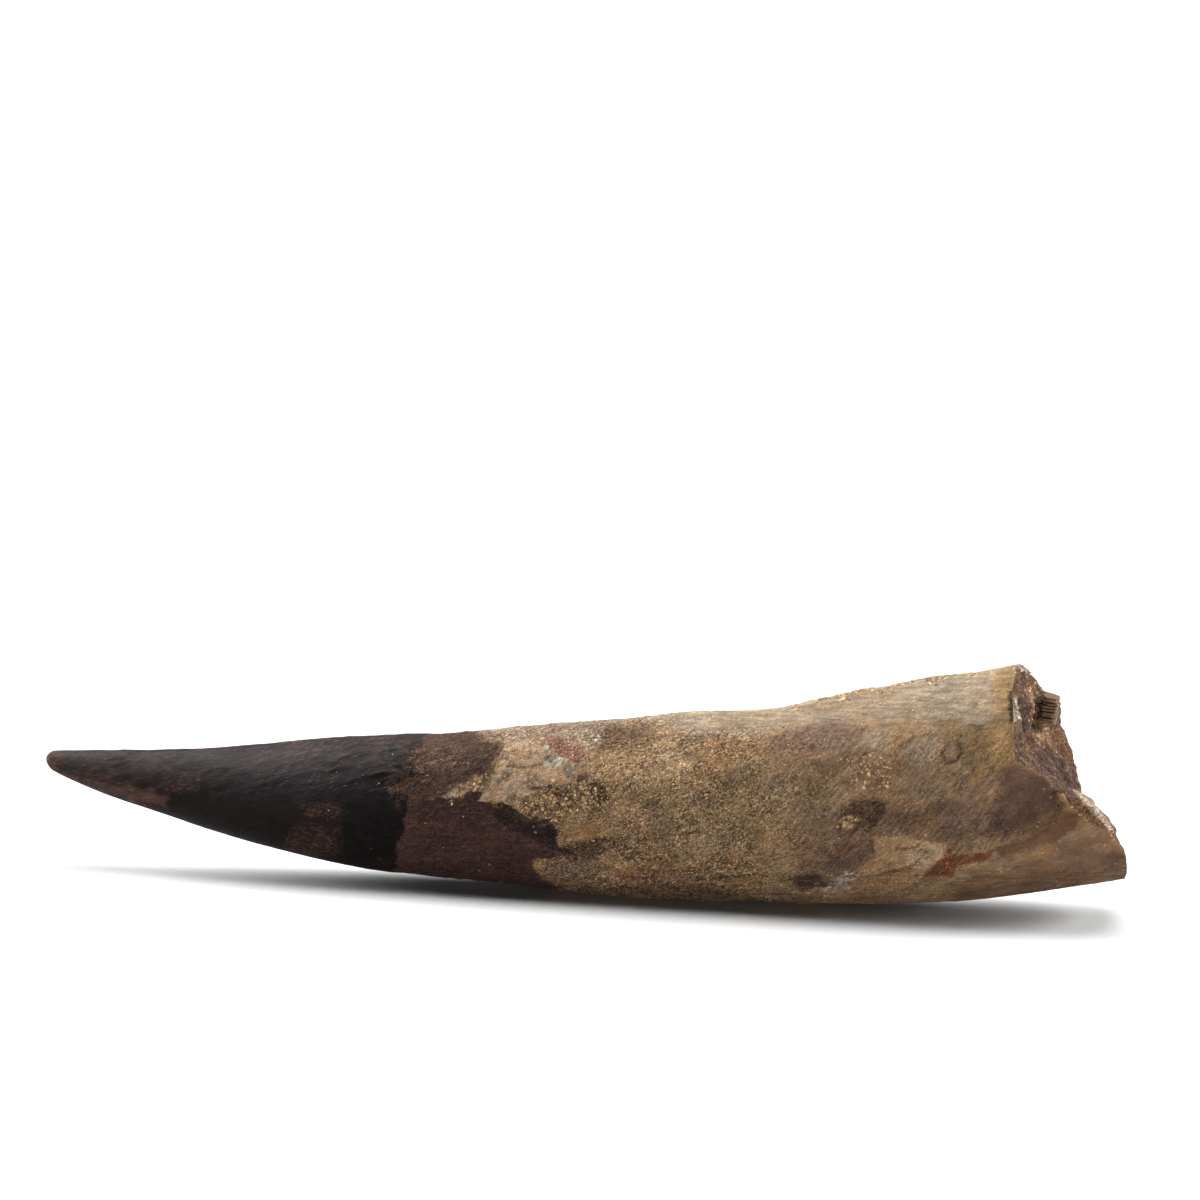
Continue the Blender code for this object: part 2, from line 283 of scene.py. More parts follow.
def skin_relief(s, angle, place):
    """How far the skin stands out from its oval: the sum of swellings, ridges that fall off by
    e to the turn, the crust's lumps, bell-shaped dents, and the scar beside the break."""
    relief = 0.0 * s
    for size, at_tip, at_root, seed in SWELLINGS:
        height = at_tip + (at_root - at_tip) * ease(s, *SWELL_GROWTH)
        relief = relief + height * lumps(place, size, seed)
    for middle, height, reach in RIDGES:
        crest = np.exp(-np.abs(turn_from(angle, middle)) / RIDGE_WIDTH)
        relief = relief + height * crest * (1 - ease(s, RIDGE_FADE * reach, reach))
    crust = window(s, CRUST_SPAN) * (1 - ease(np.abs(turn_from(angle, CRUST_ANGLE)), *CRUST_HALF))
    relief = relief + crust * (CRUST_DEPTH + CRUST_LUMP * lumps(place, CRUST_SIZE, 3))
    for middle, at_angle, half_length, half_angle, depth in DENTS:
        along = (s - middle) / half_length
        around = turn_from(angle, at_angle) / half_angle
        relief = relief - depth * np.exp(-(along**2) - around**2)
    turn = turn_from(angle, 0.0)
    scar = ease(turn - smooth_through(SCAR_FOOT, s), 0.0, SCAR_STEP) * (1 - ease(turn, *SCAR_TOP))
    relief = relief - SCAR_DEPTH * ease(s, *SCAR_SPAN) * scar
    return relief * np.sqrt(ease(s, 0.0, SMOOTH_TIP))


def oval_point(s, angle):
    """The point of the plain oval, and the direction out of it there."""
    middle, half_height, half_width = section(s)
    rise, front = np.sin(angle), np.cos(angle)
    point = np.stack([s - LENGTH / 2, -half_width * front, middle + half_height * rise], axis=-1)
    outward = np.stack([0 * s, -half_height * front, half_width * rise], axis=-1)
    return point, outward / np.linalg.norm(outward, axis=-1, keepdims=True)


def skin_grid():
    """s and angle for each ring and each point round it. The rings step by equal angles on
    the tip's rounding, then by equal lengths, and lean to end on the rim."""
    turn = np.linspace(0.0, pi / 2, TIP_RINGS + 1)[1:]
    tip = TIP_ROUND * (1 - np.cos(turn))
    along = np.concatenate([tip, np.linspace(TIP_ROUND, LENGTH, SKIN_RINGS + 1)[1:]])[:, None]
    angle = np.arange(AROUND) * 2 * pi / AROUND
    rim = broken_face(np.cos(angle), np.sin(angle))
    lean = np.clip(1 - (LENGTH - along) / RIM_BLEND, 0.0, 1.0) ** 2
    s = along + (rim - LENGTH) * lean
    return s, np.broadcast_to(angle, s.shape)


s, angle = skin_grid()
plain, outward = oval_point(s, angle)


def axes_of_eye():
    """The camera's right, up and ahead, from its two turns: round +Z, then down."""
    right = np.array([cos(EYE_ROUND), sin(EYE_ROUND), 0.0])
    ahead = np.array([-sin(EYE_ROUND) * cos(EYE_DOWN), cos(EYE_ROUND) * cos(EYE_DOWN), -sin(EYE_DOWN)])
    return right, np.cross(right, ahead), ahead


def in_frame(point):
    """Steps right of and below the frame's upper left corner at which the camera sees a point:
    half the frame plus the lens's magnification of its offsets over its distance ahead."""
    right, up, ahead = axes_of_eye()
    away = point - EYE
    scale = LENS / SENSOR * FRAME / (away @ ahead)
    return FRAME / 2 + scale * (away @ right), FRAME / 2 - scale * (away @ up)


SEEN_FROM, SEEN_TO = -1.38, 1.76  # the angles of the skin that the camera sees
BACK_SHIFT, SHIFT_GROWTH = 13.0, (10.0, 70.0)  # how much nearer to the tip the back's markings lie


def markings_place(s, angle):
    """Where a place on the skin is in the frame. The hidden side is folded to the front one, a
    part turn for a whole one, and moved along by a sine, so that its markings run on from the
    front's at both edges but do not repeat them."""
    turn = turn_from(angle, 0.0)
    hidden = (turn > SEEN_TO) | (turn < SEEN_FROM)
    beyond = (turn - SEEN_TO) % (2 * pi) / (2 * pi - SEEN_TO + SEEN_FROM)
    folded = np.where(hidden, SEEN_TO - beyond * (SEEN_TO - SEEN_FROM), turn)
    moved = BACK_SHIFT * np.sin(pi * np.clip(beyond, 0.0, 1.0)) * ease(s, *SHIFT_GROWTH)
    point, outward = oval_point(s - np.where(hidden, moved, 0.0), folded)
    return in_frame(point)


def off_side(start, end, across, down):
    """Distance to the nearest place of a straight side."""
    (x0, y0), (x1, y1) = start, end
    run, fall = x1 - x0, y1 - y0
    t = np.clip(((across - x0) * run + (down - y0) * fall) / (run**2 + fall**2), 0.0, 1.0)
    return np.hypot(across - x0 - t * run, down - y0 - t * fall)


def off_line(line, across, down):
    """Distance to the nearest side of a broken line."""
    return np.minimum.reduce([off_side(*side, across, down) for side in zip(line, line[1:])])


def depth_inside(outline, across, down):
    """Distance to the nearest side of an outline, less than nothing outside it. A place is
    inside when a line from it to the left crosses the sides an odd number of times."""
    ring = (*outline, outline[0])
    inside = np.zeros(across.shape, dtype=bool)
    for (x0, y0), (x1, y1) in zip(ring, ring[1:]):
        if y0 != y1:
            crosses = (y0 > down) != (y1 > down)
            inside ^= crosses & (across > x0 + (down - y0) * (x1 - x0) / (y1 - y0))
    nearest = off_line(ring, across, down)
    return np.where(inside, nearest, -nearest)


def streaks(point, slant, length, width, seed):
    """Noise drawn out to length along a slant in the side view and narrowed to width across
    it, and to twice width from side to side."""
    x, y, z = np.moveaxis(point, -1, 0)
    along = x * cos(slant) + z * sin(slant)
    across = z * cos(slant) - x * sin(slant)
    return lumps(np.stack([along / length, y / (2 * width), across / width], -1), 1.0, seed)

# ---------------------------------------------------------------------------------------------
# The zones of the skin. Dark worn enamel over the crown, which ends in a ragged edge, and past
# it maroon stone, sandy crust and patches of paler stone, each a thin layer on the next.

OUTLINES = (  # layer, and the corners of an outline of it, in steps across and down the frame
    ("enamel", (20, 700), (432, 700), (430, 733), (420, 741), (411, 747), (424, 752), (410, 757),
     (424, 760), (405, 765), (396, 770), (420, 773), (405, 779), (388, 786), (392, 793), (408, 795),
     (406, 805), (406, 815), (402, 820), (405, 832), (399, 839), (397, 851), (394, 868), (391, 885),
     (388, 960), (20, 960)),
    ("maroon", (340, 798), (403, 797), (430, 799), (452, 799), (470, 790), (482, 792), (484, 801),
     (496, 805), (508, 813), (526, 822), (545, 828), (555, 830), (558, 840), (562, 848), (575, 851),
     (556, 858), (545, 862), (532, 860), (534, 868), (545, 880), (562, 886), (545, 894), (520, 899),
     (470, 905), (340, 905)),
    ("dark_patch", (491, 803), (506, 804), (512, 808), (520, 809), (524, 815), (541, 818), (553, 823),
     (557, 835), (557, 847), (548, 848), (524, 838), (505, 825), (494, 816)),
    ("dark_patch", (1009, 691), (1014, 690), (1014, 721), (1010, 722), (1008, 708)),
    ("pale_patch", (505, 743), (514, 741), (525, 740), (543, 737), (547, 746), (552, 751), (559, 757),
     (565, 758), (572, 761), (577, 771), (578, 778), (570, 782), (560, 785), (542, 788), (533, 792),
     (526, 798), (521, 804), (519, 809), (512, 807), (506, 803), (496, 802), (487, 802), (478, 801),
     (483, 794), (489, 789), (492, 778), (498, 767), (502, 755)),
    ("root_patch", (873, 838), (890, 837), (906, 837), (917, 840), (931, 842), (947, 844), (945, 858),
     (936, 862), (926, 872), (921, 878), (900, 889), (846, 893), (855, 875), (862, 867), (876, 856),
     (874, 846)),
    ("root_light", (906, 850), (926, 843), (946, 846), (941, 858), (928, 870), (908, 866)),
    ("tan_patch", (531, 860), (545, 861), (556, 859), (575, 858), (600, 860), (620, 880), (600, 888),
     (575, 886), (547, 882), (539, 880), (545, 876), (547, 873), (543, 868), (538, 864)),
    ("grey_vein", (541, 737), (547, 742), (550, 750), (560, 757), (571, 761), (577, 771), (572, 778),
     (566, 774), (560, 769), (553, 769), (544, 766), (545, 758), (550, 756), (546, 750), (540, 742)),
    ("red_stain", (546, 735), (560, 738), (575, 744), (584, 752), (580, 768), (573, 762), (562, 757),
     (551, 749)),
    ("rust_wedge", (948, 843), (953, 856), (983, 853), (1000, 846), (985, 861), (958, 867), (951, 876),
     (921, 878), (929, 869), (944, 858)),
    ("rust_band", (996, 849), (1012, 841), (1034, 834), (1052, 824), (1066, 812), (1080, 812),
     (1078, 826), (1062, 838), (1042, 847), (1020, 853), (1000, 858)),
    ("ochre_lens", (567, 830), (578, 824), (600, 822), (606, 832), (598, 839), (583, 842), (571, 841)),
    ("crown_rust", (284, 838), (296, 826), (318, 824), (338, 830), (342, 852), (310, 858), (286, 852)),
    ("crown_rust", (296, 803), (330, 803), (346, 812), (338, 820), (310, 816)),
    ("crown_rust", (160, 780), (184, 774), (202, 780), (196, 790), (166, 793)),
    ("crown_rust", (62, 768), (90, 776), (122, 782), (170, 800), (150, 808), (110, 796), (60, 779)),
    ("crown_rust", (284, 741), (322, 738), (326, 748), (290, 752)),
    ("crown_rust", (366, 735), (398, 732), (400, 744), (372, 746)),
    ("crown_rust", (384, 780), (402, 776), (408, 800), (396, 806), (384, 796)),
    ("brown_rust", (404, 752), (430, 743), (470, 746), (464, 764), (430, 778), (404, 782)),
    ("brown_rust", (476, 744), (492, 746), (490, 760), (478, 758)),
    ("low_streaks", (536, 884), (560, 874), (600, 868), (640, 866), (700, 870), (705, 884), (700, 905),
     (536, 905)),
    ("white_flecks", (560, 734), (600, 732), (600, 741), (586, 750), (572, 745)),
    ("white_flecks", (440, 792), (458, 786), (470, 783), (464, 793), (448, 798)),
    ("white_flecks", (822, 890), (834, 878), (846, 871), (857, 874), (848, 886), (832, 893)),
    ("dark_grit", (592, 728), (620, 724), (655, 728), (658, 744), (630, 748), (606, 752), (590, 748)),
    ("dark_grit", (540, 786), (560, 783), (606, 782), (610, 800), (590, 808), (560, 806)),
    ("dark_grit", (606, 840), (626, 842), (628, 852), (608, 852)),
    ("dark_grit", (842, 806), (862, 798), (886, 804), (886, 826), (866, 838), (838, 832)),
    ("dark_grit", (554, 845), (575, 846), (606, 846), (606, 858), (576, 862), (556, 857)),
    ("dark_grit", (622, 857), (660, 856), (664, 868), (630, 870)),
    ("dark_grit", (480, 802), (506, 802), (514, 812), (500, 822), (486, 814)),
    ("dark_grit", (570, 776), (586, 773), (590, 784), (574, 786)),
)
SHARP_DOWN, BLUR_OVER, BLUR = 803.0, 22.0, 0.5  # the enamel's edge is sharp low down and blurs above
across, down = markings_place(s, angle)

layers = {}  # the depth of each place inside a layer, in whichever of its outlines is deepest
for name, *outline in OUTLINES:
    depth = depth_inside(outline, across, down)
    layers[name] = np.maximum(layers.get(name, depth), depth)
layers["enamel"] = layers["enamel"] * (1 - BLUR * ease(SHARP_DOWN - down, 0.0, BLUR_OVER))

# ---------------------------------------------------------------------------------------------
# The fine relief of the skin, carved in the same stone: the enamel's slanting wrinkles, the
# grit of the sand, the fibres of the root, thin layers one over the other, and old cracks.

SMOOTH = (
    (1003, 768), (1020, 760), (1135, 800), (1135, 905), (900, 905), (946, 872), (985, 858), (1008, 838),
)
CRACKS = (  # width in steps of the frame, depth, and the corners of a broken line
    (1.8, 0.24, (572, 843), (583, 844), (590, 841), (597, 840), (608, 840)),
    (1.6, 0.14, (60, 767), (75, 773), (100, 780), (122, 785)),
    (1.5, -0.12, (363, 776), (387, 772), (423, 770)),
    (1.5, 0.16, (546, 757), (551, 760), (553, 766)),
    (1.3, 0.1, (508, 766), (524, 767), (540, 765)),
    (1.4, 0.12, (532, 789), (545, 786), (556, 787)),
    (1.3, 0.12, (897, 850), (915, 848), (930, 853)),
    (1.3, 0.12, (884, 872), (905, 868), (920, 862)),
    (1.5, 0.14, (942, 752), (948, 744), (958, 743), (962, 752), (955, 762), (946, 762), (942, 752)),
    (1.7, 0.2, (700, 880), (730, 877), (760, 874)),
)
# Where each mark sets in and where it is full: inside its outline, across or down the frame.
THIN_EDGE, CROWN_EDGE, MAROON_EDGE = (-2.0, 2.0), (-4.0, 6.0), (-3.0, 3.0)
PALE_EDGE, SMOOTH_EDGE = (-2.5, 2.5), (-8.0, 8.0)
UPPER_DOWN, UPPER_ACROSS, TIP_DOWN = (812.0, 780.0), (120.0, 330.0), (800.0, 775.0)
FIBRE_ACROSS, BELLY_DOWN = (730.0, 860.0), (852.0, 880.0)
BAND_ACROSS, BAND_DOWN = (640.0, 720.0), (738.0, 722.0)
WORN_WRINKLES = 0.2  # what is left of the wrinkles where the enamel is most worn
BENT, BENT_SIZE = 0.5, 1.8  # how far, and over what size, a wrinkle strays from its slant
# Slant, length, width, seed and share of each size of mark.
WRINKLE_ROWS = ((13, 3.0, 1.0, 11, 1.0), (19, 1.9, 0.62, 12, 0.8))
STROKE_ROWS = ((52, 1.5, 0.5, 13, 1.0), (44, 0.9, 0.36, 14, 0.6))
DRIFT_ROWS = ((33, 1.6, 0.55, 18, 1.0), (24, 0.9, 0.4, 19, 0.7))
LAYERING_ROW = (4, 6.0, 0.6, 15)
GRIT_LUMPS = ((0.95, 1.0, 16), (0.5, 0.6, 17))  # size, height, seed
WRINKLES_BEGIN, RELIEF_BEGINS = (3.0, 14.0), (0.0, 3.0)  # distances from the tip
WRINKLE_HIGH, STROKE_HIGH, LUMP_HIGH, DRIFT_HIGH, LAYERING_HIGH = 0.075, 0.04, 0.08, 0.06, 0.03
ENAMEL_STEP, PALE_STEP, PALE_LUMP, DARK_SUNK = 0.09, 0.14, 0.05, 0.1

upper = ease(down, *UPPER_DOWN) * ease(across, *UPPER_ACROSS)
wrinkled = WORN_WRINKLES + (1 - WORN_WRINKLES) * np.maximum(upper, 0.75 * ease(down, *TIP_DOWN))
crown = ease(layers["enamel"], *CROWN_EDGE)
maroon = ease(layers["maroon"], *MAROON_EDGE)
pale = ease(np.maximum(layers["pale_patch"], layers["root_patch"]), *PALE_EDGE)
smooth = ease(depth_inside(SMOOTH, across, down), *SMOOTH_EDGE)
lens = ease(layers["ochre_lens"], *THIN_EDGE)
top_band = (1 - crown) * ease(across, *BAND_ACROSS) * ease(down, *BAND_DOWN)
bedding = np.maximum((1 - crown) * np.maximum(0.7 * maroon, ease(down, *BELLY_DOWN)), top_band)


def thinned(amount, *marks):
    """The amount, less the share that it loses to each mark where that mark is 1."""
    for mark, lost in marks:
        amount = amount * (1 - lost * mark)
    return amount


fibre = ease(across, *FIBRE_ACROSS) * (1 - crown)
fibre = thinned(fibre, (pale, 0.7), (smooth, 0.85), (top_band, 0.65))
grit = thinned(1 - crown, (maroon, 0.35), (pale, 0.5), (fibre, 0.6), (smooth, 0.75), (lens, 0.5))
grit = thinned(grit, (top_band, 0.75))


def streaked(point, rows, form):
    """The sum of the rows' streaks, each put through the form and taken by its share."""
    return sum(share * form(streaks(point, radians(slant), length, width, seed))
               for slant, length, width, seed, share in rows)


bent = plain + BENT * np.stack([lumps(plain, BENT_SIZE, seed) for seed in (7, 8, 9)], axis=-1)
wrinkle = streaked(bent, WRINKLE_ROWS, lambda noise: 1 - 2 * np.abs(noise))
stroke = streaked(plain, STROKE_ROWS, lambda noise: noise)
drift = streaked(plain, DRIFT_ROWS, lambda noise: noise)
layering = streaks(plain, radians(LAYERING_ROW[0]), *LAYERING_ROW[1:])
lump = many_lumps(plain, GRIT_LUMPS)

fine = WRINKLE_HIGH * crown * wrinkled * ease(s, *WRINKLES_BEGIN) * wrinkle
fine = fine + STROKE_HIGH * fibre * stroke + grit * (LUMP_HIGH * lump + DRIFT_HIGH * drift)
fine = fine + LAYERING_HIGH * bedding * layering + LAYERING_HIGH * maroon * lump
fine = fine + ENAMEL_STEP * ease(layers["enamel"], *THIN_EDGE) + pale * (PALE_STEP + PALE_LUMP * lump)
fine = fine - DARK_SUNK * ease(layers["dark_patch"], *THIN_EDGE)
cracked = 0.0
for wide, deep, *line in CRACKS:
    groove = np.exp(-((off_line(line, across, down) / wide) ** 2))
    fine = fine - deep * groove
    cracked = np.maximum(cracked, groove * (deep > 0))

relief = skin_relief(s, angle, plain) + fine * ease(s, *RELIEF_BEGINS)
skin = plain + relief[..., None] * outward
skin[..., 2] = np.maximum(skin[..., 2], REST_Z)

# ---------------------------------------------------------------------------------------------
# The broken face, in the same grid: spongy dentine that broke in crumbs, upright fibres along
# its near side, and the lobe's thin bevel. Low on the near side the break has worn smooth, and
# the face turns into the scar with no edge.

CRUMBS = ((2.3, 0.3, 21), (1.1, 0.3, 22), (0.55, 0.22, 23))  # size, height, seed
WORN_EDGE, WORN_DROP, WORN_WIDE = (-0.5, -0.3, 0.05, 0.3), 1.5, (0.68, 1.0)
TORN = ((1.4, 0.32, 24), (0.6, 0.2, 25))  # size, height, seed of the far rim's jags
FAR_SIDE, ABOVE_LOBE, TORN_WIDE, TORN_NEAR = (-0.1, 0.4), (-0.5, -0.1), 0.85, 0.2
PULLED = 0.4  # the share of the rim's jags that the ring of skin before it takes
CRUMB_RIM, CRUMB_FOOT = 0.08, (-0.45, -0.15)

edge = skin[-1]
middle = section(s[-1].mean())[0]
worn = WORN_DROP * window(turn_from(angle[0], 0.0), WORN_EDGE)
far_side = ease(-np.cos(angle[0]), *FAR_SIDE) * ease(np.sin(angle[0]), *ABOVE_LOBE)
torn = many_lumps(edge, TORN) * (TORN_NEAR + (1 - TORN_NEAR) * far_side)
skin[-1, :, 0] += torn - worn
skin[-2, :, 0] += PULLED * (torn - worn)
inward = (1 - np.arange(1, FACE_RINGS) / FACE_RINGS)[:, None]
front, height = inward * np.cos(angle[0]), inward * np.sin(angle[0])
near_rim = ease(inward, *WORN_WIDE)
along = broken_face(front, height) - LENGTH / 2 - worn * near_rim**1.5
along = along + torn * ease(inward, TORN_WIDE, 1.0)
face = np.stack([along, inward * edge[:, 1], middle + inward * (edge[:, 2] - middle)], axis=-1)
flat = face * np.array([0.0, 1.0, 0.6])
crumbling = ease(1 - inward, 0.0, CRUMB_RIM) * ease(height, *CRUMB_FOOT)
crumbling = crumbling * (1 - 0.8 * near_rim * (worn > 0.2))
spongy = many_lumps(flat, CRUMBS)
face[..., 0] += crumbling * spongy
tip_point = [[-LENGTH / 2, 0.0, section(0.0)[0]]]
heart = [face[-1].mean(axis=0)]
points = np.vstack([tip_point, skin.reshape(-1, 3), face.reshape(-1, 3), heart])


def ringed_faces(rings, around, last):
    """Four-sided faces between neighbouring rings, and a fan of triangles at each end."""
    here = np.arange(around)
    after = (here + 1) % around
    start = 1 + around * np.arange(rings - 1)[:, None]
    square = [start + here, start + around + here, start + around + after, start + after]
    first = np.stack([0 * here, 1 + here, 1 + after], -1)
    final = 1 + (rings - 1) * around
    end = np.stack([final + here, last + 0 * here, final + after], -1)
    return first.tolist() + np.stack(square, -1).reshape(-1, 4).tolist() + end.tolist()


RINGS = TIP_RINGS + SKIN_RINGS + FACE_RINGS - 1
mesh = bpy.data.meshes.new("fossil_tooth")
mesh.from_pydata((points * MM).tolist(), [], ringed_faces(RINGS, AROUND, len(points) - 1))
mesh.shade_smooth()

# ---------------------------------------------------------------------------------------------
# The stains. Iron, manganese and clay have soaked into the stone unevenly: soft clouds of
# ochre, brown, olive, mauve and near-black that run into one another, laid one over the last.
# A few are painted light and shade: sheen on the upper crown, light along the crest and on a
# flank near the tip, shade low on the broken face, and light and shade on the wrinkles.

SAND = (0.138, 0.086, 0.046)
WARM_SAND = (0.196, 0.126, 0.068)
DULL_SAND = (0.128, 0.085, 0.046)
BUFF = (0.154, 0.118, 0.080)
ROSY_BUFF = (0.145, 0.101, 0.070)
TAN = (0.127, 0.074, 0.044)
GOLD = (0.150, 0.090, 0.039)
OCHRE = (0.120, 0.066, 0.029)
OLIVE = (0.096, 0.067, 0.034)
OLIVE_BLACK = (0.055, 0.039, 0.022)
CLAY = (0.092, 0.053, 0.031)
SHADED = (0.090, 0.056, 0.034)
GREY_BROWN = (0.105, 0.065, 0.038)
BROWN = (0.035, 0.0190, 0.0118)
UMBER = (0.045, 0.0255, 0.0150)
MAUVE = (0.068, 0.039, 0.027)
ROSE = (0.100, 0.062, 0.042)
PLUM = (0.042, 0.0235, 0.0167)
PLUM_AND_SHADE = (0.036, 0.0195, 0.0138)
RUSSET = (0.122, 0.062, 0.035)
ASH = (0.150, 0.112, 0.082)

ROOT_STAINS = (  # pigment, softness of its edge, strength, and the corners of its outline
    (WARM_SAND, 10, 0.8, (556, 756), (585, 742), (640, 740), (690, 748), (700, 775), (650, 790),
     (600, 782), (562, 780)),
    (DULL_SAND, 12, 0.8, (640, 800), (700, 775), (740, 765), (790, 790), (760, 840), (700, 850),
     (650, 840)),
    # the pale band along the crest: its own paler stone, painted lighter as well where light from above
    # falls on the crest
    (BUFF, 7, 1.0, (590, 722), (640, 719), (690, 735), (740, 738), (800, 728), (870, 722), (930, 716),
     (985, 726), (1016, 704), (1016, 640), (590, 690)),
    (ROSY_BUFF, 4, 0.9, (470, 741), (505, 744), (545, 736), (600, 729), (640, 722), (640, 690),
     (470, 690)),
    (UMBER, 5, 0.85, (425, 742), (470, 742), (500, 736), (470, 731), (425, 731)),
    (ROSE, 6, 0.75, (772, 733), (830, 722), (870, 727), (868, 742), (840, 752), (800, 756), (772, 748)),
    (OLIVE_BLACK, 4, 0.6, (800, 762), (830, 757), (866, 752), (868, 762), (846, 772), (820, 776),
     (806, 772)),
    (BUFF, 5, 0.6, (856, 748), (862, 734), (884, 729), (890, 736), (878, 748), (866, 754)),
    (UMBER, 7, 0.45, (880, 752), (905, 738), (922, 736), (926, 752), (910, 772), (884, 776)),
    (BUFF, 6, 0.45, (908, 750), (920, 736), (938, 732), (940, 752), (925, 766), (910, 764)),
    (OLIVE, 6, 0.6, (942, 742), (960, 728), (1000, 728), (1002, 765), (980, 772), (950, 768)),
    (OLIVE_BLACK, 1.5, 0.8, (967, 726), (984, 725), (985, 729), (968, 730)),
    (TAN, 2, 0.8, (944, 752), (948, 745), (956, 744), (960, 752), (955, 761), (947, 761)),
    (GREY_BROWN, 9, 0.8, (905, 778), (960, 772), (1012, 782), (1012, 815), (960, 812), (905, 808)),
    (SHADED, 10, 0.85, (800, 812), (860, 800), (900, 806), (960, 808), (1010, 822), (1005, 838),
     (960, 848), (920, 880), (860, 892), (800, 884), (790, 845)),
    (OCHRE, 4, 0.7, (968, 782), (985, 770), (1008, 758), (1012, 768), (990, 782), (975, 788)),
    (GOLD, 8, 0.95, (994, 672), (1020, 660), (1020, 770), (1004, 774), (984, 776), (986, 760),
     (992, 740)),
    (BROWN, 6, 0.5, (570, 728), (600, 727), (640, 727), (655, 738), (640, 750), (610, 752), (588, 750),
     (600, 738)),
    (BROWN, 4, 1.0, (370, 690), (462, 690), (476, 737), (505, 744), (500, 758), (492, 778), (488, 791),
     (470, 794), (440, 799), (370, 806)),
    (UMBER, 3, 0.55, (410, 745), (445, 741), (470, 748), (465, 765), (430, 772), (406, 766)),
    (TAN, 3, 0.95, (436, 794), (447, 790), (458, 786), (470, 779), (487, 776), (487, 788), (470, 794),
     (452, 801), (440, 800)),
    (UMBER, 4, 0.55, (520, 803), (545, 792), (575, 790), (606, 792), (606, 812), (560, 812), (530, 815)),
    (UMBER, 3, 0.9, (586, 784), (597, 782), (604, 788), (602, 801), (592, 800), (586, 792)),
    (BROWN, 3, 0.6, (545, 788), (560, 787), (575, 787), (572, 795), (550, 796)),
    (PLUM, 3, 0.9, (574, 778), (582, 775), (586, 781), (580, 785), (574, 784)),
    (BROWN, 4, 0.75, (556, 845), (575, 846), (595, 845), (605, 852), (596, 860), (575, 861), (556, 856)),
    (OLIVE_BLACK, 3, 0.7, (608, 842), (624, 843), (628, 849), (614, 851), (606, 848)),
    (OLIVE_BLACK, 5, 0.4, (714, 780), (728, 774), (744, 770), (760, 776), (742, 790), (722, 795)),
    (BROWN, 5, 0.5, (640, 806), (655, 800), (664, 812), (652, 820)),
    (GREY_BROWN, 6, 0.5, (640, 812), (662, 806), (676, 822), (668, 845), (644, 842)),
    (OLIVE_BLACK, 8, 0.4, (800, 776), (820, 776), (832, 790), (822, 806), (806, 800)),
    (GREY_BROWN, 5, 0.7, (838, 762), (852, 756), (880, 756), (888, 768), (884, 790), (860, 792),
     (840, 784)),
    (BROWN, 4, 0.75, (846, 808), (862, 800), (878, 804), (884, 816), (872, 832), (852, 838), (836, 832),
     (836, 820)),
    (WARM_SAND, 1.5, 1.0, (841, 821), (850, 816), (857, 822), (856, 832), (845, 834)),
    (UMBER, 6, 0.5, (884, 816), (915, 812), (940, 808), (945, 818), (915, 830), (884, 832)),
    (MAUVE, 7, 0.7, (940, 806), (1000, 812), (1012, 832), (975, 842), (950, 840), (930, 830)),
    (MAUVE, 4, 0.9, (824, 846), (845, 840), (872, 842), (878, 852), (864, 864), (852, 872), (826, 872)),
    (TAN, 2, 0.8, (824, 844), (832, 842), (839, 846), (834, 851), (826, 850)),
    (PLUM, 2, 0.95, (789, 882), (806, 877), (826, 880), (825, 889), (800, 892)),
    (ASH, 1.5, 0.4, (824, 890), (834, 880), (842, 874), (853, 876), (847, 886), (832, 893)),
    (CLAY, 9, 0.95, (950, 882), (1005, 862), (1045, 850), (1080, 835), (1112, 838), (1130, 860),
     (1130, 885), (1050, 895), (960, 905)),
    (MAUVE, 5, 0.6, (1098, 855), (1112, 850), (1130, 856), (1130, 872), (1104, 866)),
    (PLUM, 9, 0.9, (1004, 768), (1020, 762), (1036, 771), (1060, 790), (1072, 800), (1064, 814),
     (1046, 828), (1015, 838), (992, 836), (988, 812), (1000, 796)),
    (GREY_BROWN, 4, 0.5, (1020, 830), (1040, 826), (1060, 828), (1048, 838), (1022, 838)),
    (OCHRE, 2, 0.8, (1060, 803), (1076, 796), (1084, 806), (1086, 818), (1072, 816), (1062, 810)),
    (OCHRE, 3, 0.9, (1066, 812), (1086, 818), (1092, 824), (1078, 830), (1064, 826)),
    (PLUM, 2, 0.6, (1108, 856), (1128, 854), (1128, 861), (1110, 860)),
    (RUSSET, 3, 1.0, (615, 874), (636, 869), (660, 870), (690, 872), (694, 877), (665, 880), (625, 879)),
    (ASH, 2, 0.8, (691, 873), (698, 871), (701, 878), (694, 880)),
    (BROWN, 4, 0.6, (540, 886), (600, 884), (640, 883), (700, 889), (760, 897), (820, 900), (820, 915),
     (540, 915)),
)
ENAMEL_BLACK = (0.0034, 0.0019, 0.0016)
ENAMEL_SHEEN_GREY = (0.0098, 0.0046, 0.0035)
ENAMEL_BROWN = (0.036, 0.0150, 0.0058)
ENAMEL_MAUVE = (0.044, 0.0230, 0.0175)
ENAMEL_RED = (0.0105, 0.0056, 0.0044)
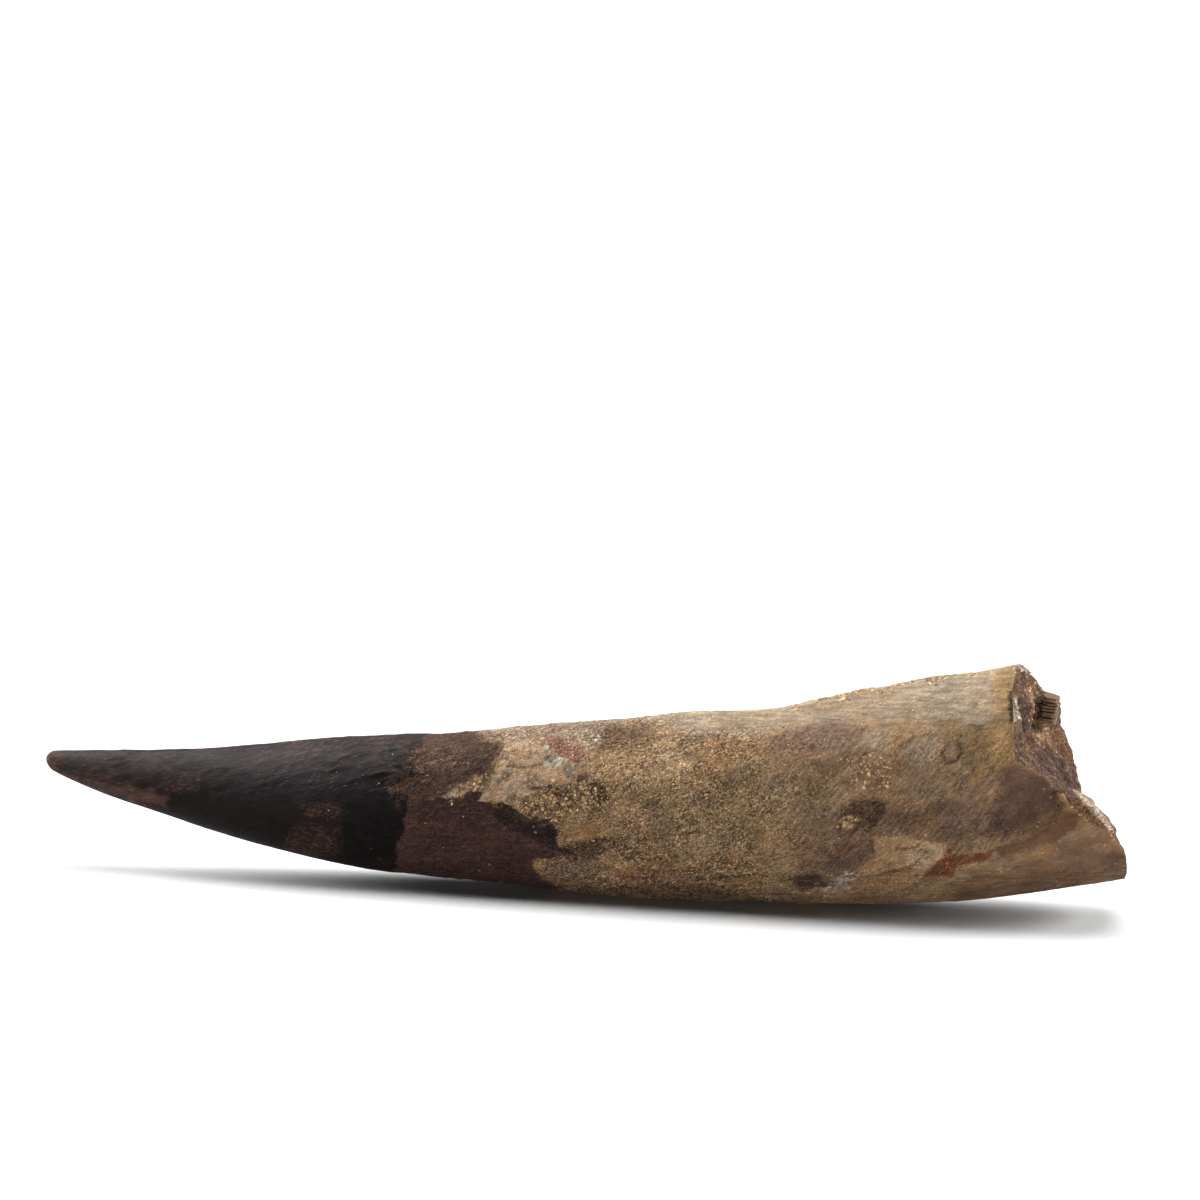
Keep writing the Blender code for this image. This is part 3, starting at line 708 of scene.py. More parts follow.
ENAMEL_STAINS = (
    # the upper crown, greyer and lighter: painted sheen where light from above gleams on the enamel
    (ENAMEL_SHEEN_GREY, 12, 1.0, (60, 735), (460, 725), (430, 762), (340, 768), (220, 778), (130, 796),
     (60, 778)),
    (ENAMEL_SHEEN_GREY, 10, 0.45, (300, 745), (400, 740), (400, 765), (330, 775), (300, 770)),
    (ENAMEL_BROWN, 5, 1.0, (38, 742), (54, 749), (63, 761), (57, 775), (46, 776), (38, 762)),
    (ENAMEL_MAUVE, 3, 0.8, (62, 768), (90, 775), (122, 784), (168, 798), (168, 808), (130, 802),
     (90, 790), (56, 776)),
    # painted light: a flank near the tip made lighter where it faces a little down and gets less light
    (ENAMEL_MAUVE, 6, 0.22, (80, 764), (120, 764), (170, 770), (168, 786), (120, 782), (80, 774)),
    (ENAMEL_RED, 3, 0.6, (122, 778), (150, 772), (168, 776), (160, 788), (136, 788)),
    (ENAMEL_RED, 4, 0.8, (168, 780), (190, 777), (198, 786), (186, 793), (170, 792)),
    (ENAMEL_RED, 5, 0.8, (284, 742), (320, 740), (322, 748), (290, 752)),
    (ENAMEL_RED, 4, 0.8, (368, 737), (395, 734), (396, 742), (372, 744)),
    (ENAMEL_RED, 6, 0.5, (300, 804), (336, 806), (340, 816), (310, 816)),
    (ENAMEL_RED, 5, 0.6, (286, 838), (296, 828), (318, 826), (336, 830), (338, 852), (310, 856),
     (290, 850)),
    ((0.002, 0.0013, 0.0012), 7, 0.95, (340, 794), (366, 790), (410, 794), (410, 872), (372, 868),
     (344, 850)),
    (ENAMEL_RED, 5, 0.5, (345, 868), (395, 862), (392, 880), (350, 876)),
)


def stained(bare, stains, across, down):
    """The bare pigment with each stain mixed over it, by a share that eases from 0 outside the
    outline's soft edge to the stain's strength inside."""
    colour = np.broadcast_to(np.array(bare), (*across.shape, 3)).copy()
    for pigment, soft, strength, *outline in stains:
        share = strength * ease(depth_inside(outline, across, down), -soft, soft)[..., None]
        colour = colour * (1 - share) + np.array(pigment) * share
    return colour


TONES = ((3.0, 1.0, 0), (0.9, 0.8, 1))  # size, height, seed
WARMTHS = ((4.6, 1.0, 2), (1.7, 0.7, 3))
TONE_SPREAD, WARMTH_SPREAD = 0.12, 0.05
WARMTH = (1.0, 0.1, -1.2)  # what warmth does to red, green and blue


def blotches(point, seed):
    """Three numbers near 1 for each place, for a colour's three parts, from noise of two sizes:
    one noise makes all three more or less, and one makes the red more and the blue less."""
    tone, warmth = many_lumps(point, TONES, seed), many_lumps(point, WARMTHS, seed)
    return np.exp(TONE_SPREAD * tone[..., None] + WARMTH_SPREAD * warmth[..., None] * WARMTH)


STRAYS = ((4.8, 4.0, 30), (2.4, 3.2, 32), (1.2, 2.6, 34), (0.65, 2.2, 36))  # size, reach, seed
strayed = across + many_lumps(plain, STRAYS), down + many_lumps(plain, STRAYS, 1)
root_colour = stained(SAND, ROOT_STAINS, *strayed) * blotches(plain, 61)
enamel_colour = stained(ENAMEL_BLACK, ENAMEL_STAINS, *strayed)
RIDGE_PAINTED_LIGHT, CREST_LEVEL = 0.3, 0.4  # painted light and shade: a wrinkle is painted lighter on its ridge, above this level, and darker in its groove, below it
enamel_colour = enamel_colour * np.exp(RIDGE_PAINTED_LIGHT * crown * wrinkled * (wrinkle - CREST_LEVEL))[..., None]

DENTINE = (0.066, 0.0325, 0.0158)
PALE_DENTINE = (0.112, 0.068, 0.040)
DARK_WALL = (0.052, 0.034, 0.024)
WHITE_STONE = (0.21, 0.175, 0.135)
FACE_STAINS = (
    (UMBER, 4, 0.75, (1012, 664), (1022, 666), (1025, 700), (1023, 770), (1012, 770)),
    (WHITE_STONE, 1.2, 0.7, (1013, 695), (1017, 697), (1018, 720), (1014, 721)),
    (WHITE_STONE, 2, 0.5, (1017, 661), (1026, 663), (1031, 671), (1019, 671)),
    (PALE_DENTINE, 5, 0.9, (1028, 685), (1044, 692), (1048, 740), (1036, 750), (1028, 720)),
    (PLUM, 1.5, 0.9, (1024, 698), (1030, 697), (1034, 716), (1032, 722), (1026, 716)),
    (PLUM, 1.5, 0.8, (1020, 722), (1030, 720), (1044, 728), (1040, 733), (1022, 731)),
    (PLUM, 1.5, 0.8, (1034, 754), (1046, 754), (1045, 765), (1036, 764)),
    (DARK_WALL, 2, 0.9, (1043, 690), (1062, 690), (1064, 725), (1048, 723), (1043, 705)),
    # low on the face beside the scar: the scar's plum colour, with painted shade where the face turns up
    # towards the light
    (PLUM_AND_SHADE, 8, 0.9, (1016, 756), (1046, 746), (1074, 754), (1084, 790), (1050, 792)),
    (PLUM, 4, 0.95, (1012, 764), (1030, 766), (1050, 787), (1077, 789), (1076, 803), (1056, 806),
     (1010, 790)),
    (OCHRE, 1.5, 0.7, (1027, 765), (1031, 765), (1052, 784), (1049, 788), (1030, 772)),
    (WHITE_STONE, 1.2, 0.75, (1076, 791), (1084, 796), (1098, 808), (1110, 822), (1116, 834), (1108, 830),
     (1096, 817), (1084, 804)),
)
FACE_STRAY, FACE_STRAY_SIZE = 1.5, 1.2
PORE_DARK, PORE_RANGE = 0.9, (-0.7, 0.5)  # pores are darker and what stands between them lighter

face_across, face_down = in_frame(face)
face_across = face_across + FACE_STRAY * lumps(flat, FACE_STRAY_SIZE, 35)
face_down = face_down + FACE_STRAY * lumps(flat, FACE_STRAY_SIZE, 36)
face_colour = stained(DENTINE, FACE_STAINS, face_across, face_down) * blotches(face * (1.0, 1.0, 0.7), 71)
face_colour = face_colour * np.exp(PORE_DARK * np.clip(crumbling * spongy, *PORE_RANGE))[..., None]
OUTSIDE = -50.0  # a depth that is well outside any outline


def on_points(skin_value, face_value):
    """One value for each point of the mesh, in its order: tip, skin, face, heart."""
    shape = skin_value.shape[2:]
    on_skin = skin_value.reshape(-1, *shape)
    on_face = np.broadcast_to(face_value, (*face.shape[:2], *shape)).reshape(-1, *shape)
    return np.concatenate([on_skin[:1], on_skin, on_face, on_face[-1:]])


def store(mesh, name, values):
    """A named number or colour on each point of a mesh."""
    if values.ndim == 1:
        mesh.attributes.new(name, "FLOAT", "POINT").data.foreach_set("value", values.astype(np.float32))
        return
    full = np.column_stack([values, np.ones(len(values))]).astype(np.float32)
    mesh.attributes.new(name, "FLOAT_COLOR", "POINT").data.foreach_set("color", full.ravel())


ON_SKIN_AND_FACE = {  # what each point of the skin and of the face holds
    "root_colour": (root_colour, face_colour),
    "enamel_colour": (enamel_colour, face_colour),
    "grit": (grit, 0.8),
    "fibre": (fibre, 0.0),
    "crown": (crown, 0.0),
    "wrinkled": (crown * wrinkled, 0.0),
    "bedding": (bedding, 0.0),
    "cracked": (cracked, 0.0),
}
ON_SKIN_AND_FACE.update({name: (depth, OUTSIDE) for name, depth in layers.items()})
for name, (skin_value, face_value) in ON_SKIN_AND_FACE.items():
    store(mesh, name, on_points(skin_value, face_value))

# ---------------------------------------------------------------------------------------------
# The stone itself. One mineralised body from the dull gloss of the enamel to the dead-flat
# sand: grains of every brown, streaks along the growth, and layers with ragged edges.

stone = bpy.data.materials.new("fossil_stone")
stone.use_nodes = True
tree = stone.node_tree
shader = tree.nodes["Principled BSDF"]


def feed(socket, value):
    """Joins the socket to another node's output, or sets it to a plain value."""
    if isinstance(value, bpy.types.NodeSocket):
        tree.links.new(value, socket)
    else:
        socket.default_value = value


def calc(operation, first, second):
    node = tree.nodes.new("ShaderNodeMath")
    node.operation = operation
    feed(node.inputs[0], first)
    feed(node.inputs[1], second)
    return node.outputs[0]


def times(first, second):
    return calc("MULTIPLY", first, second)


def between(value, low, high, out_low=0.0, out_high=1.0):
    """Eases from out_low, where the value is low or less, to out_high, where it is high or more."""
    node = tree.nodes.new("ShaderNodeMapRange")
    node.interpolation_type = "SMOOTHSTEP"
    for place, number in enumerate((value, low, high, out_low, out_high)):
        feed(node.inputs[place], number)
    return node.outputs[0]


def mix(first, second, share, way="MIX"):
    node = tree.nodes.new("ShaderNodeMix")
    node.data_type, node.blend_type = "RGBA", way
    feed(node.inputs["Factor"], share)
    feed(node.inputs[6], first)
    feed(node.inputs[7], second)
    return node.outputs[2]


def shade(colour, tone, share):
    """A colour made darker where the tone is under a half and lighter where it is over: each
    number of a dark colour is multiplied by one, less the share, plus twice share times tone."""
    return mix(colour, tone, share, "OVERLAY")


def stored(name, output="Fac"):
    node = tree.nodes.new("ShaderNodeAttribute")
    node.attribute_name = name
    return node.outputs[output]


object_place = tree.nodes.new("ShaderNodeTexCoord").outputs["Object"]


def place_in(size, slant=0.0):
    """The place on the object, turned back by the slant and divided by a size in millimetres,
    or by one for each of along, from side to side and across."""
    node = tree.nodes.new("ShaderNodeMapping")
    node.vector_type = "TEXTURE"
    feed(node.inputs["Vector"], object_place)
    node.inputs["Rotation"].default_value = (0.0, -radians(slant), 0.0)
    node.inputs["Scale"].default_value = np.broadcast_to(np.array(size) * MM, 3).tolist()
    return node.outputs[0]


def noise(place, detail, rough, swirl=0.0):
    node = tree.nodes.new("ShaderNodeTexNoise")
    feed(node.inputs["Vector"], place)
    node.inputs["Scale"].default_value = 1.0
    node.inputs["Detail"].default_value = detail
    node.inputs["Roughness"].default_value = rough
    node.inputs["Distortion"].default_value = swirl
    return node.outputs["Fac"]


def grains(place):
    """A number for each grain of a packed bed, and the distance from the grain's middle."""
    node = tree.nodes.new("ShaderNodeTexVoronoi")
    feed(node.inputs["Vector"], place)
    node.inputs["Scale"].default_value = 1.0
    return times(node.outputs["Color"], 1.0), node.outputs["Distance"]


RAGGED, RAGGED_SIZE = 26.0, 1.8  # how far a layer's edge strays, in steps, and its jags' size in mm
ragged = times(calc("SUBTRACT", noise(place_in(RAGGED_SIZE), 8.0, 0.72), 0.5), RAGGED)


def covers(layer, stray, soft):
    """1 where a layer is, from the depth inside its outline and its share of the stray."""
    return between(calc("ADD", stored(layer), times(ragged, stray)), -soft, soft)


LAYERS = (  # name, pigment, share of the stray, how soft its edge is, how much it covers
    ("maroon", (0.0285, 0.0142, 0.0120), 0.9, 1.2, 1.0),
    ("dark_patch", (0.0118, 0.0078, 0.0068), 1.2, 1.6, 0.9),
    ("tan_patch", (0.104, 0.066, 0.042), 0.9, 1.0, 0.7),
    ("pale_patch", (0.196, 0.133, 0.084), 0.4, 0.5, 1.0),
    ("root_patch", (0.160, 0.095, 0.049), 0.3, 0.5, 1.0),
    ("root_light", (0.215, 0.150, 0.092), 0.4, 3.0, 0.75),
    ("red_stain", (0.116, 0.053, 0.038), 0.5, 2.0, 0.8),
    ("grey_vein", (0.205, 0.182, 0.136), 0.2, 1.0, 0.95),
    ("rust_wedge", (0.080, 0.0260, 0.0105), 0.5, 1.2, 0.85),
    ("rust_band", (0.048, 0.0225, 0.0140), 0.8, 3.5, 0.75),
    ("ochre_lens", (0.110, 0.062, 0.029), 0.5, 2.0, 0.85),
)
PATTERNS = {  # size in mm, slant, detail, roughness, swirl, and the noise eased to 0 and to 1
    "gilded": (1.4, 0.0, 6.0, 0.70, 0.0, 0.50, 0.58),
    "dusky": (1.9, 0.0, 7.0, 0.72, 0.0, 0.50, 0.58),
    "flecked": ((1.0, 0.6, 0.36), 48.0, 4.0, 0.65, 0.3, 0.57, 0.62),
    "uneven": (3.5, 0.0, 3.0, 0.60, 0.0, 0.35, 0.65),
    "cloud": ((4.5, 3.5, 2.6), 20.0, 9.0, 0.74, 0.0, 0.34, 0.66),
    "warm": ((3.0, 2.4, 1.6), 25.0, 8.0, 0.74, 0.0, 0.34, 0.66),
    "drifts": ((1.0, 0.7, 0.38), 31.0, 5.0, 0.80, 0.5, 0.37, 0.63),
    "strokes": ((1.8, 0.8, 0.36), 52.0, 4.0, 0.68, 0.3, 0.34, 0.66),
    "wrinkles": ((2.2, 1.3, 0.46), 14.0, 8.0, 0.78, 0.9, 0.41, 0.59),
    "glints": ((1.2, 0.8, 0.17), 20.0, 4.0, 0.68, 0.6, 0.58, 0.65),
    "bands": ((3.4, 1.6, 0.4), 3.0, 7.0, 0.76, 0.5, 0.36, 0.64),
}
pattern = {
    name: between(noise(place_in(size, slant), detail, rough, swirl), low, high)
    for name, (size, slant, detail, rough, swirl, low, high) in PATTERNS.items()
}

within = {layer: covers(layer, stray, soft) for layer, pigment, stray, soft, cover in LAYERS}
colour = stored("root_colour", "Color")
for layer, pigment, stray, soft, cover in LAYERS:
    colour = mix(colour, (*pigment, 1.0), times(within[layer], cover))

MOTTLES = (  # pattern, the layer that it lies on, pigment, how much it covers
    ("gilded", "pale_patch", (0.128, 0.074, 0.032), 0.6),
    ("dusky", "pale_patch", (0.066, 0.044, 0.031), 0.7),
    ("flecked", "root_patch", (0.050, 0.037, 0.019), 0.8),
)
for name, layer, pigment, cover in MOTTLES:
    colour = mix(colour, (*pigment, 1.0), times(pattern[name], times(within[layer], cover)))
colour = mix(colour, stored("enamel_colour", "Color"), covers("enamel", 0.9, 1.2))

SPRINKLED = (  # layer, pigment, the size and slant of its specks, how many there are, cover
    ("brown_rust", (0.090, 0.0480, 0.0260), (1.2, 0.7, 0.36), 16.0, 0.51, 0.75),
    ("dark_grit", (0.018, 0.0110, 0.0070), (0.8, 0.6, 0.45), 24.0, 0.50, 0.85),
    ("low_streaks", (0.036, 0.0180, 0.0115), (4.5, 1.6, 0.40), 3.0, 0.51, 0.5),
    ("white_flecks", (0.300, 0.250, 0.195), (0.8, 0.6, 0.45), 20.0, 0.49, 0.8),
    ("crown_rust", (0.052, 0.0260, 0.0180), (0.7, 0.5, 0.30), 12.0, 0.51, 0.8),
)
SPRINKLED_SOFT, SPECK_EDGE = 5.0, 0.06
for layer, pigment, size, slant, rare, cover in SPRINKLED:
    specks = between(noise(place_in(size, slant), 5.0, 0.76, 0.4), rare, rare + SPECK_EDGE)
    share = times(specks, covers(layer, 1.0, SPRINKLED_SOFT))
    colour = mix(colour, (*pigment, 1.0), times(share, cover))

GRAIN_BED, GRAIN_SLANT, GAP_EDGE = (0.30, 0.26, 0.21), 28.0, (0.25, 0.8)
COOL, WARM = (0.38, 0.49, 0.66, 1.0), (0.62, 0.51, 0.34, 1.0)
GLINT, CRACK_BLACK = (0.092, 0.066, 0.055, 1.0), (0.012, 0.0075, 0.0050, 1.0)
fibre_here, crown_here, bedding_here = stored("fibre"), stored("wrinkled"), stored("bedding")
gritty = times(stored("grit"), calc("ADD", 0.6, times(pattern["uneven"], 0.4)))
grain, from_grain = grains(place_in(GRAIN_BED, GRAIN_SLANT))
gaps = between(from_grain, *GAP_EDGE, 1.0, 0.0)

SHADES = (  # a tone, and how much it darkens and lightens
    (mix(COOL, WARM, pattern["warm"]), 0.22),
    (pattern["cloud"], 0.2),
    (pattern["drifts"], times(gritty, 0.6)),
    (grain, times(gritty, 0.65)),
    # painted light and shade: each grain of the bed lighter at its middle and darker towards the gaps
    # between grains
    (gaps, times(gritty, 0.5)),
    (pattern["strokes"], times(fibre_here, 0.3)),
    # painted light on the wrinkles' ridges and painted shade in their grooves, the same pattern that raises
    # them in the bump below
    (pattern["wrinkles"], times(crown_here, 0.88)),
    (pattern["bands"], times(bedding_here, 0.28)),
)
for tone, share in SHADES:
    colour = shade(colour, tone, share)
colour = mix(colour, GLINT, times(pattern["glints"], times(crown_here, 0.5)))
colour = mix(colour, CRACK_BLACK, times(stored("cracked"), 0.75))
feed(shader.inputs["Base Color"], colour)
ROOT_ROUGH, CROWN_ROUGH, SHEEN_LEVEL = 0.9, 0.6, 0.06
feed(shader.inputs["Roughness"], between(stored("crown"), 0.0, 1.0, ROOT_ROUGH, CROWN_ROUGH))
shader.inputs["Specular IOR Level"].default_value = SHEEN_LEVEL

BUMP_HIGH = 0.17  # what a height of 1 stands for, in mm
HEIGHTS = (  # a pattern, where it is, its height
    (gaps, gritty, 0.9),
    (pattern["drifts"], gritty, 1.1),
    (pattern["strokes"], fibre_here, 0.8),
    (pattern["wrinkles"], crown_here, 1.9),
    (pattern["bands"], bedding_here, 0.6),
)
height_here = pattern["cloud"]
for tone, where, high in HEIGHTS:
    height_here = calc("ADD", height_here, times(times(tone, where), high))
bump = tree.nodes.new("ShaderNodeBump")
bump.inputs["Strength"].default_value = 1.0
bump.inputs["Distance"].default_value = BUMP_HIGH * MM
feed(bump.inputs["Height"], height_here)
feed(shader.inputs["Normal"], bump.outputs[0])

mesh.materials.append(stone)
tooth = put("fossil_tooth", mesh)
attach(tooth, "root")
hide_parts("tooth")

# ---------------------------------------------------------------------------------------------
# The sand. Grains of quartz and ironstone cemented to the skin: thick on the root and in the
# lee of the pale patch, coarse along the crest, and one by one on the maroon stone.

GOLDEN = (1 + 5**0.5) / 2
SAND_COUNT, SAND_RADIUS = 24000, (0.10, 0.23)
FINE_COUNT, FINE_RADIUS = 24000, (0.06, 0.14)
COARSE_COUNT, COARSE_RADIUS = 3800, (0.14, 0.33)
SUNK, FLATTENED = 0.4, 0.35  # the shares of its radius by which a grain is sunk and flattened
CORNERS_STRAY, LEAN_STRAY = 0.28, radians(16)


def icosahedron():
    """Twelve corners, at the turns of (0, 1, golden ratio), and the twenty triples of them
    that are all two apart, each wound to face outward."""
    flat = [(0.0, a, b * GOLDEN) for a, b in product((-1, 1), repeat=2)]
    corners = np.array([np.roll(corner, turn) for turn in range(3) for corner in flat])
    apart = np.linalg.norm(corners[:, None] - corners, axis=-1)
    near = np.isclose(apart, 2.0)
    sides = []
    for a, b, c in product(range(12), repeat=3):
        if a < b < c and near[a, b] and near[b, c] and near[a, c]:
            out = np.cross(corners[b] - corners[a], corners[c] - corners[a]) @ corners[a] > 0
            sides.append((a, b, c) if out else (a, c, b))
    return corners / np.linalg.norm(corners[0]), np.array(sides)


def octahedron():
    """Six corners, both ways along three axes, and the eight triples with one of each axis,
    turned about where an odd number of them point backwards."""
    corners = np.concatenate([np.eye(3), -np.eye(3)])
    sides = []
    for x, y, z in product((0, 3), repeat=3):
        sides.append((x, y + 1, z + 2) if (x + y + z) % 2 == 0 else (x, z + 2, y + 1))
    return corners, np.array(sides)


def patches(point, size, seed, low, high):
    """Patches of that size: noise, eased from 0 where it is low to 1 where it is high."""
    return ease(lumps(point, size, seed), low, high)


def scatter(grid, weight, count, chance):
    """Places on a grid of points, thicker where the weight is more: a cell drawn by its weight
    times its area, a place in it, and its outward direction and number."""
    here, right = grid[:-1], np.roll(grid, -1, axis=1)[:-1]
    beyond = grid[1:]
    out = np.cross(right - here, beyond - here)
    area = np.linalg.norm(out, axis=-1)
    share = (np.clip(weight[:-1], 0.0, None) * area).ravel()
    cell = chance.choice(share.size, count, p=share / share.sum())
    u, v = chance.random((2, count, 1))
    flat = lambda values: values.reshape(-1, 3)[cell]
    place = flat(here) + u * (flat(right) - flat(here)) + v * (flat(beyond) - flat(here))
    return place, -flat(out) / area.ravel()[cell][:, None], cell


def drawn_out(grain, outward, slant, length, chance):
    """Grains stretched along a slant in the side view, turned to lie in the skin."""
    lean = slant + LEAN_STRAY * chance.normal(size=len(grain))
    way = np.stack([np.cos(lean), 0 * lean, np.sin(lean)], axis=-1)
    way = way - np.einsum("ni,ni->n", way, outward)[:, None] * outward
    way = way / np.linalg.norm(way, axis=-1, keepdims=True)
    along = np.einsum("nki,ni->nk", grain, way) * np.broadcast_to(length - 1, len(grain))[:, None]
    return grain + along[..., None] * way[:, None]


def grain_mesh(name, shape, place, outward, radius, tint, chance, slant=0.0, length=1.0):
    """One mesh of many grains: the shape with uneven corners, turned by chance, drawn out,
    flattened towards the skin and sunk a little in it, each of one colour."""
    corners, sides = shape
    uneven = corners * (1 + CORNERS_STRAY * chance.uniform(-1, 1, (len(place), len(corners), 1)))
    turn = np.linalg.qr(chance.normal(size=(len(place), 3, 3)))[0]
    turn = turn * np.linalg.det(turn)[:, None, None]
    grain = np.einsum("nij,nkj->nki", turn, uneven)
    grain = drawn_out(grain, outward, slant, length, chance)
    off = np.einsum("nki,ni->nk", grain, outward)
    grain = grain - FLATTENED * off[..., None] * outward[:, None]
    middle = place - (SUNK * radius)[:, None] * outward
    spots = middle[:, None] + grain * radius[:, None, None]
    made = bpy.data.meshes.new(name)
    index = sides[None] + len(corners) * np.arange(len(place))[:, None, None]
    made.from_pydata((spots.reshape(-1, 3) * MM).tolist(), [], index.reshape(-1, 3).tolist())
    store(made, "tint", np.repeat(tint, len(corners), axis=0))
    made.materials.append(grain_stone)
    piece = put(name, made)
    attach(piece, "root")


grain_stone = plain_material("grain_stone", (0.1, 0.06, 0.03), 0.85, sheen=0.15)
tree = grain_stone.node_tree
feed(tree.nodes["Principled BSDF"].inputs["Base Color"], stored("tint", "Color"))

chance = np.random.default_rng(40)
TINT_SPREAD = 0.34
QUARTZ_SHARE, QUARTZ_LIGHT = 0.16, (1.72, 1.74, 1.6)
IRONSTONE_SHARE, IRONSTONE_DARK = 0.20, 0.42


def grain_tints(ground, cell, chance):
    """The colour of the ground under each grain, lighter or darker by chance, and for some
    that of clear quartz that lets gold light through, and for some that of ironstone."""
    tint = ground.reshape(-1, 3)[cell] * np.exp(chance.normal(0.0, TINT_SPREAD, (len(cell), 1)))
    kind = chance.random((len(cell), 1))
    tint = np.where(kind < QUARTZ_SHARE, tint * QUARTZ_LIGHT, tint)
    return np.where(kind > 1 - IRONSTONE_SHARE, tint * IRONSTONE_DARK, tint)


GROUND_STRAY = 4.0  # how far the noise under the grains moves a layer's edge
ground = root_colour
for layer, pigment, stray, soft, cover in LAYERS:
    edge_here = layers[layer] + GROUND_STRAY * stray * lumps(plain, 0.8, 44)
    over = cover * ease(edge_here, *THIN_EDGE)[..., None]
    ground = ground * (1 - over) + np.array(pigment) * over
brightness = ground.sum(axis=-1)

SAND_LOW = 0.25  # nothing clings where the skin comes this near to the table
SAND_SLANT, FIBRE_SLANT = radians(30), radians(22)
SAND_LONG, FIBRE_LONG = 0.6, 1.0  # how much longer than wide a grain may be, and more on the fibre
FIBRE_FINER = 0.25
DRIFT_SIZE, DRIFT_EDGE = 2.6, (-0.7, 0.4)
SAND_EDGE = (0.07, 0.16)  # between these two brightnesses of the stone the sand sets in
BARE_DARK, BARE_DRIFT = 0.14, 0.35  # the share of sand left on dark stone, and between drifts

sandy = BARE_DARK + (1 - BARE_DARK) * ease(brightness, *SAND_EDGE)
drifted = ease(lumps(plain, DRIFT_SIZE, 41) + 0.6 * drift, *DRIFT_EDGE)
sanded = (1 - crown) * sandy * (BARE_DRIFT + (1 - BARE_DRIFT) * drifted)
sanded = thinned(sanded, (pale, 0.85), (fibre, 0.72), (bedding, 0.5), (smooth, 0.8))
sanded = sanded * (skin[..., 2] > SAND_LOW)
for name, count, size in (("sand_grains", SAND_COUNT, SAND_RADIUS), ("fine_sand", FINE_COUNT, FINE_RADIUS)):
    place, out, cell = scatter(skin, sanded, count, chance)
    fibrous = fibre.ravel()[cell]
    radius = chance.uniform(*size, count) * (1 - FIBRE_FINER * fibrous)
    slant = SAND_SLANT + FIBRE_SLANT * fibrous
    length = 1.0 + (SAND_LONG + FIBRE_LONG * fibrous) * chance.random(count)
    tint = grain_tints(ground, cell, chance)
    grain_mesh(name, octahedron(), place, out, radius, tint, chance, slant, length)

COARSE_BEDS = (
    ((436, 797), (452, 792), (470, 781), (488, 776), (484, 790), (470, 795), (455, 801)),
    ((521, 803), (528, 797), (548, 792), (580, 784), (608, 786), (608, 802), (598, 812), (562, 813),
     (548, 809), (530, 816)),
    ((838, 762), (852, 757), (882, 757), (888, 768), (884, 790), (860, 792), (840, 784)),
    ((596, 876), (618, 877), (618, 886), (596, 887)),
)
COARSE_LOW, ON_CREST, ON_ROOT = 0.4, 3.0, 0.012
CREST_COARSER, COARSE_SPREAD = 0.7, 0.25
CREST_WIDE, BED_EDGE = (0.1, 0.5), (-3.0, 2.0)
CLUMPS = (2.4, 42, 0.0, 0.5)  # size, seed, and the noise eased to 0 and to 1
GOLD_SAND = np.array((0.160, 0.100, 0.048))

crested = window(s, CRUST_SPAN) * (1 - ease(np.abs(turn_from(angle, CRUST_ANGLE)), *CREST_WIDE))
clump = patches(plain, *CLUMPS)
bed = np.maximum.reduce([depth_inside(outline, *strayed) for outline in COARSE_BEDS])
coarse = ease(bed, *BED_EDGE) * (0.5 + 0.5 * clump)
coarse = coarse + ON_CREST * crested * clump + ON_ROOT * (1 - crown) * clump
place, out, cell = scatter(skin, coarse * (skin[..., 2] > COARSE_LOW), COARSE_COUNT, chance)
radius = chance.uniform(*COARSE_RADIUS, COARSE_COUNT) * (1 + CREST_COARSER * crested.ravel()[cell])
tint = grain_tints(0.5 * GOLD_SAND + 0.35 * ground, cell, chance)
tint = tint * np.exp(chance.normal(0.0, COARSE_SPREAD, (COARSE_COUNT, 1)))
grain_mesh("coarse_grains", icosahedron(), place, out, radius, tint, chance)

SPECK_COUNT, SPECK_RADIUS = 60, (0.04, 0.10)
SPECK_PALE, SPECK_LIGHT = np.array((0.46, 0.42, 0.37)), (0.5, 1.1)
SPECK_PATCHES = (6.0, 45, -0.3, 0.4)
SPECKED_ACROSS, DARK_UNDER, DARK_EDGE = (240.0, 380.0), 0.12, (0.0, 0.05)

dark_stone = np.maximum(crown * ease(across, *SPECKED_ACROSS), ease(DARK_UNDER - brightness, *DARK_EDGE))
place, out, cell = scatter(skin, dark_stone * patches(plain, *SPECK_PATCHES), SPECK_COUNT, chance)
radius = chance.uniform(*SPECK_RADIUS, SPECK_COUNT)
tint = SPECK_PALE * chance.uniform(*SPECK_LIGHT, (SPECK_COUNT, 1))
grain_mesh("quartz_specks", icosahedron(), place, out, radius, tint, chance)

# ---------------------------------------------------------------------------------------------
# The crumbs of the break. Broken bits of spongy dentine that still hold to the face, most of
# them small.

CRUMB_COUNT, CRUMB_SMALL, CRUMB_LARGE = 4200, 0.09, 0.34
CRUMB_LOWEST = -0.3  # height on the face, where 0 is its middle and 1 its crest
CRUMB_PATCHES = (2.0, 43, -0.6, 0.2)

crumbly = crumbling * patches(face, *CRUMB_PATCHES)
place, out, cell = scatter(face, crumbly * (height > CRUMB_LOWEST), CRUMB_COUNT, chance)
radius = CRUMB_SMALL + (CRUMB_LARGE - CRUMB_SMALL) * chance.random(CRUMB_COUNT) ** 2
tint = grain_tints(face_colour, cell, chance)
grain_mesh("break_crumbs", icosahedron(), place, out, radius, tint, chance)

# ---------------------------------------------------------------------------------------------
# The layered wall. On the far side of the break the tooth's outer wall stands out of the face
# as a stack of thin dark plates, one for each season's growth.

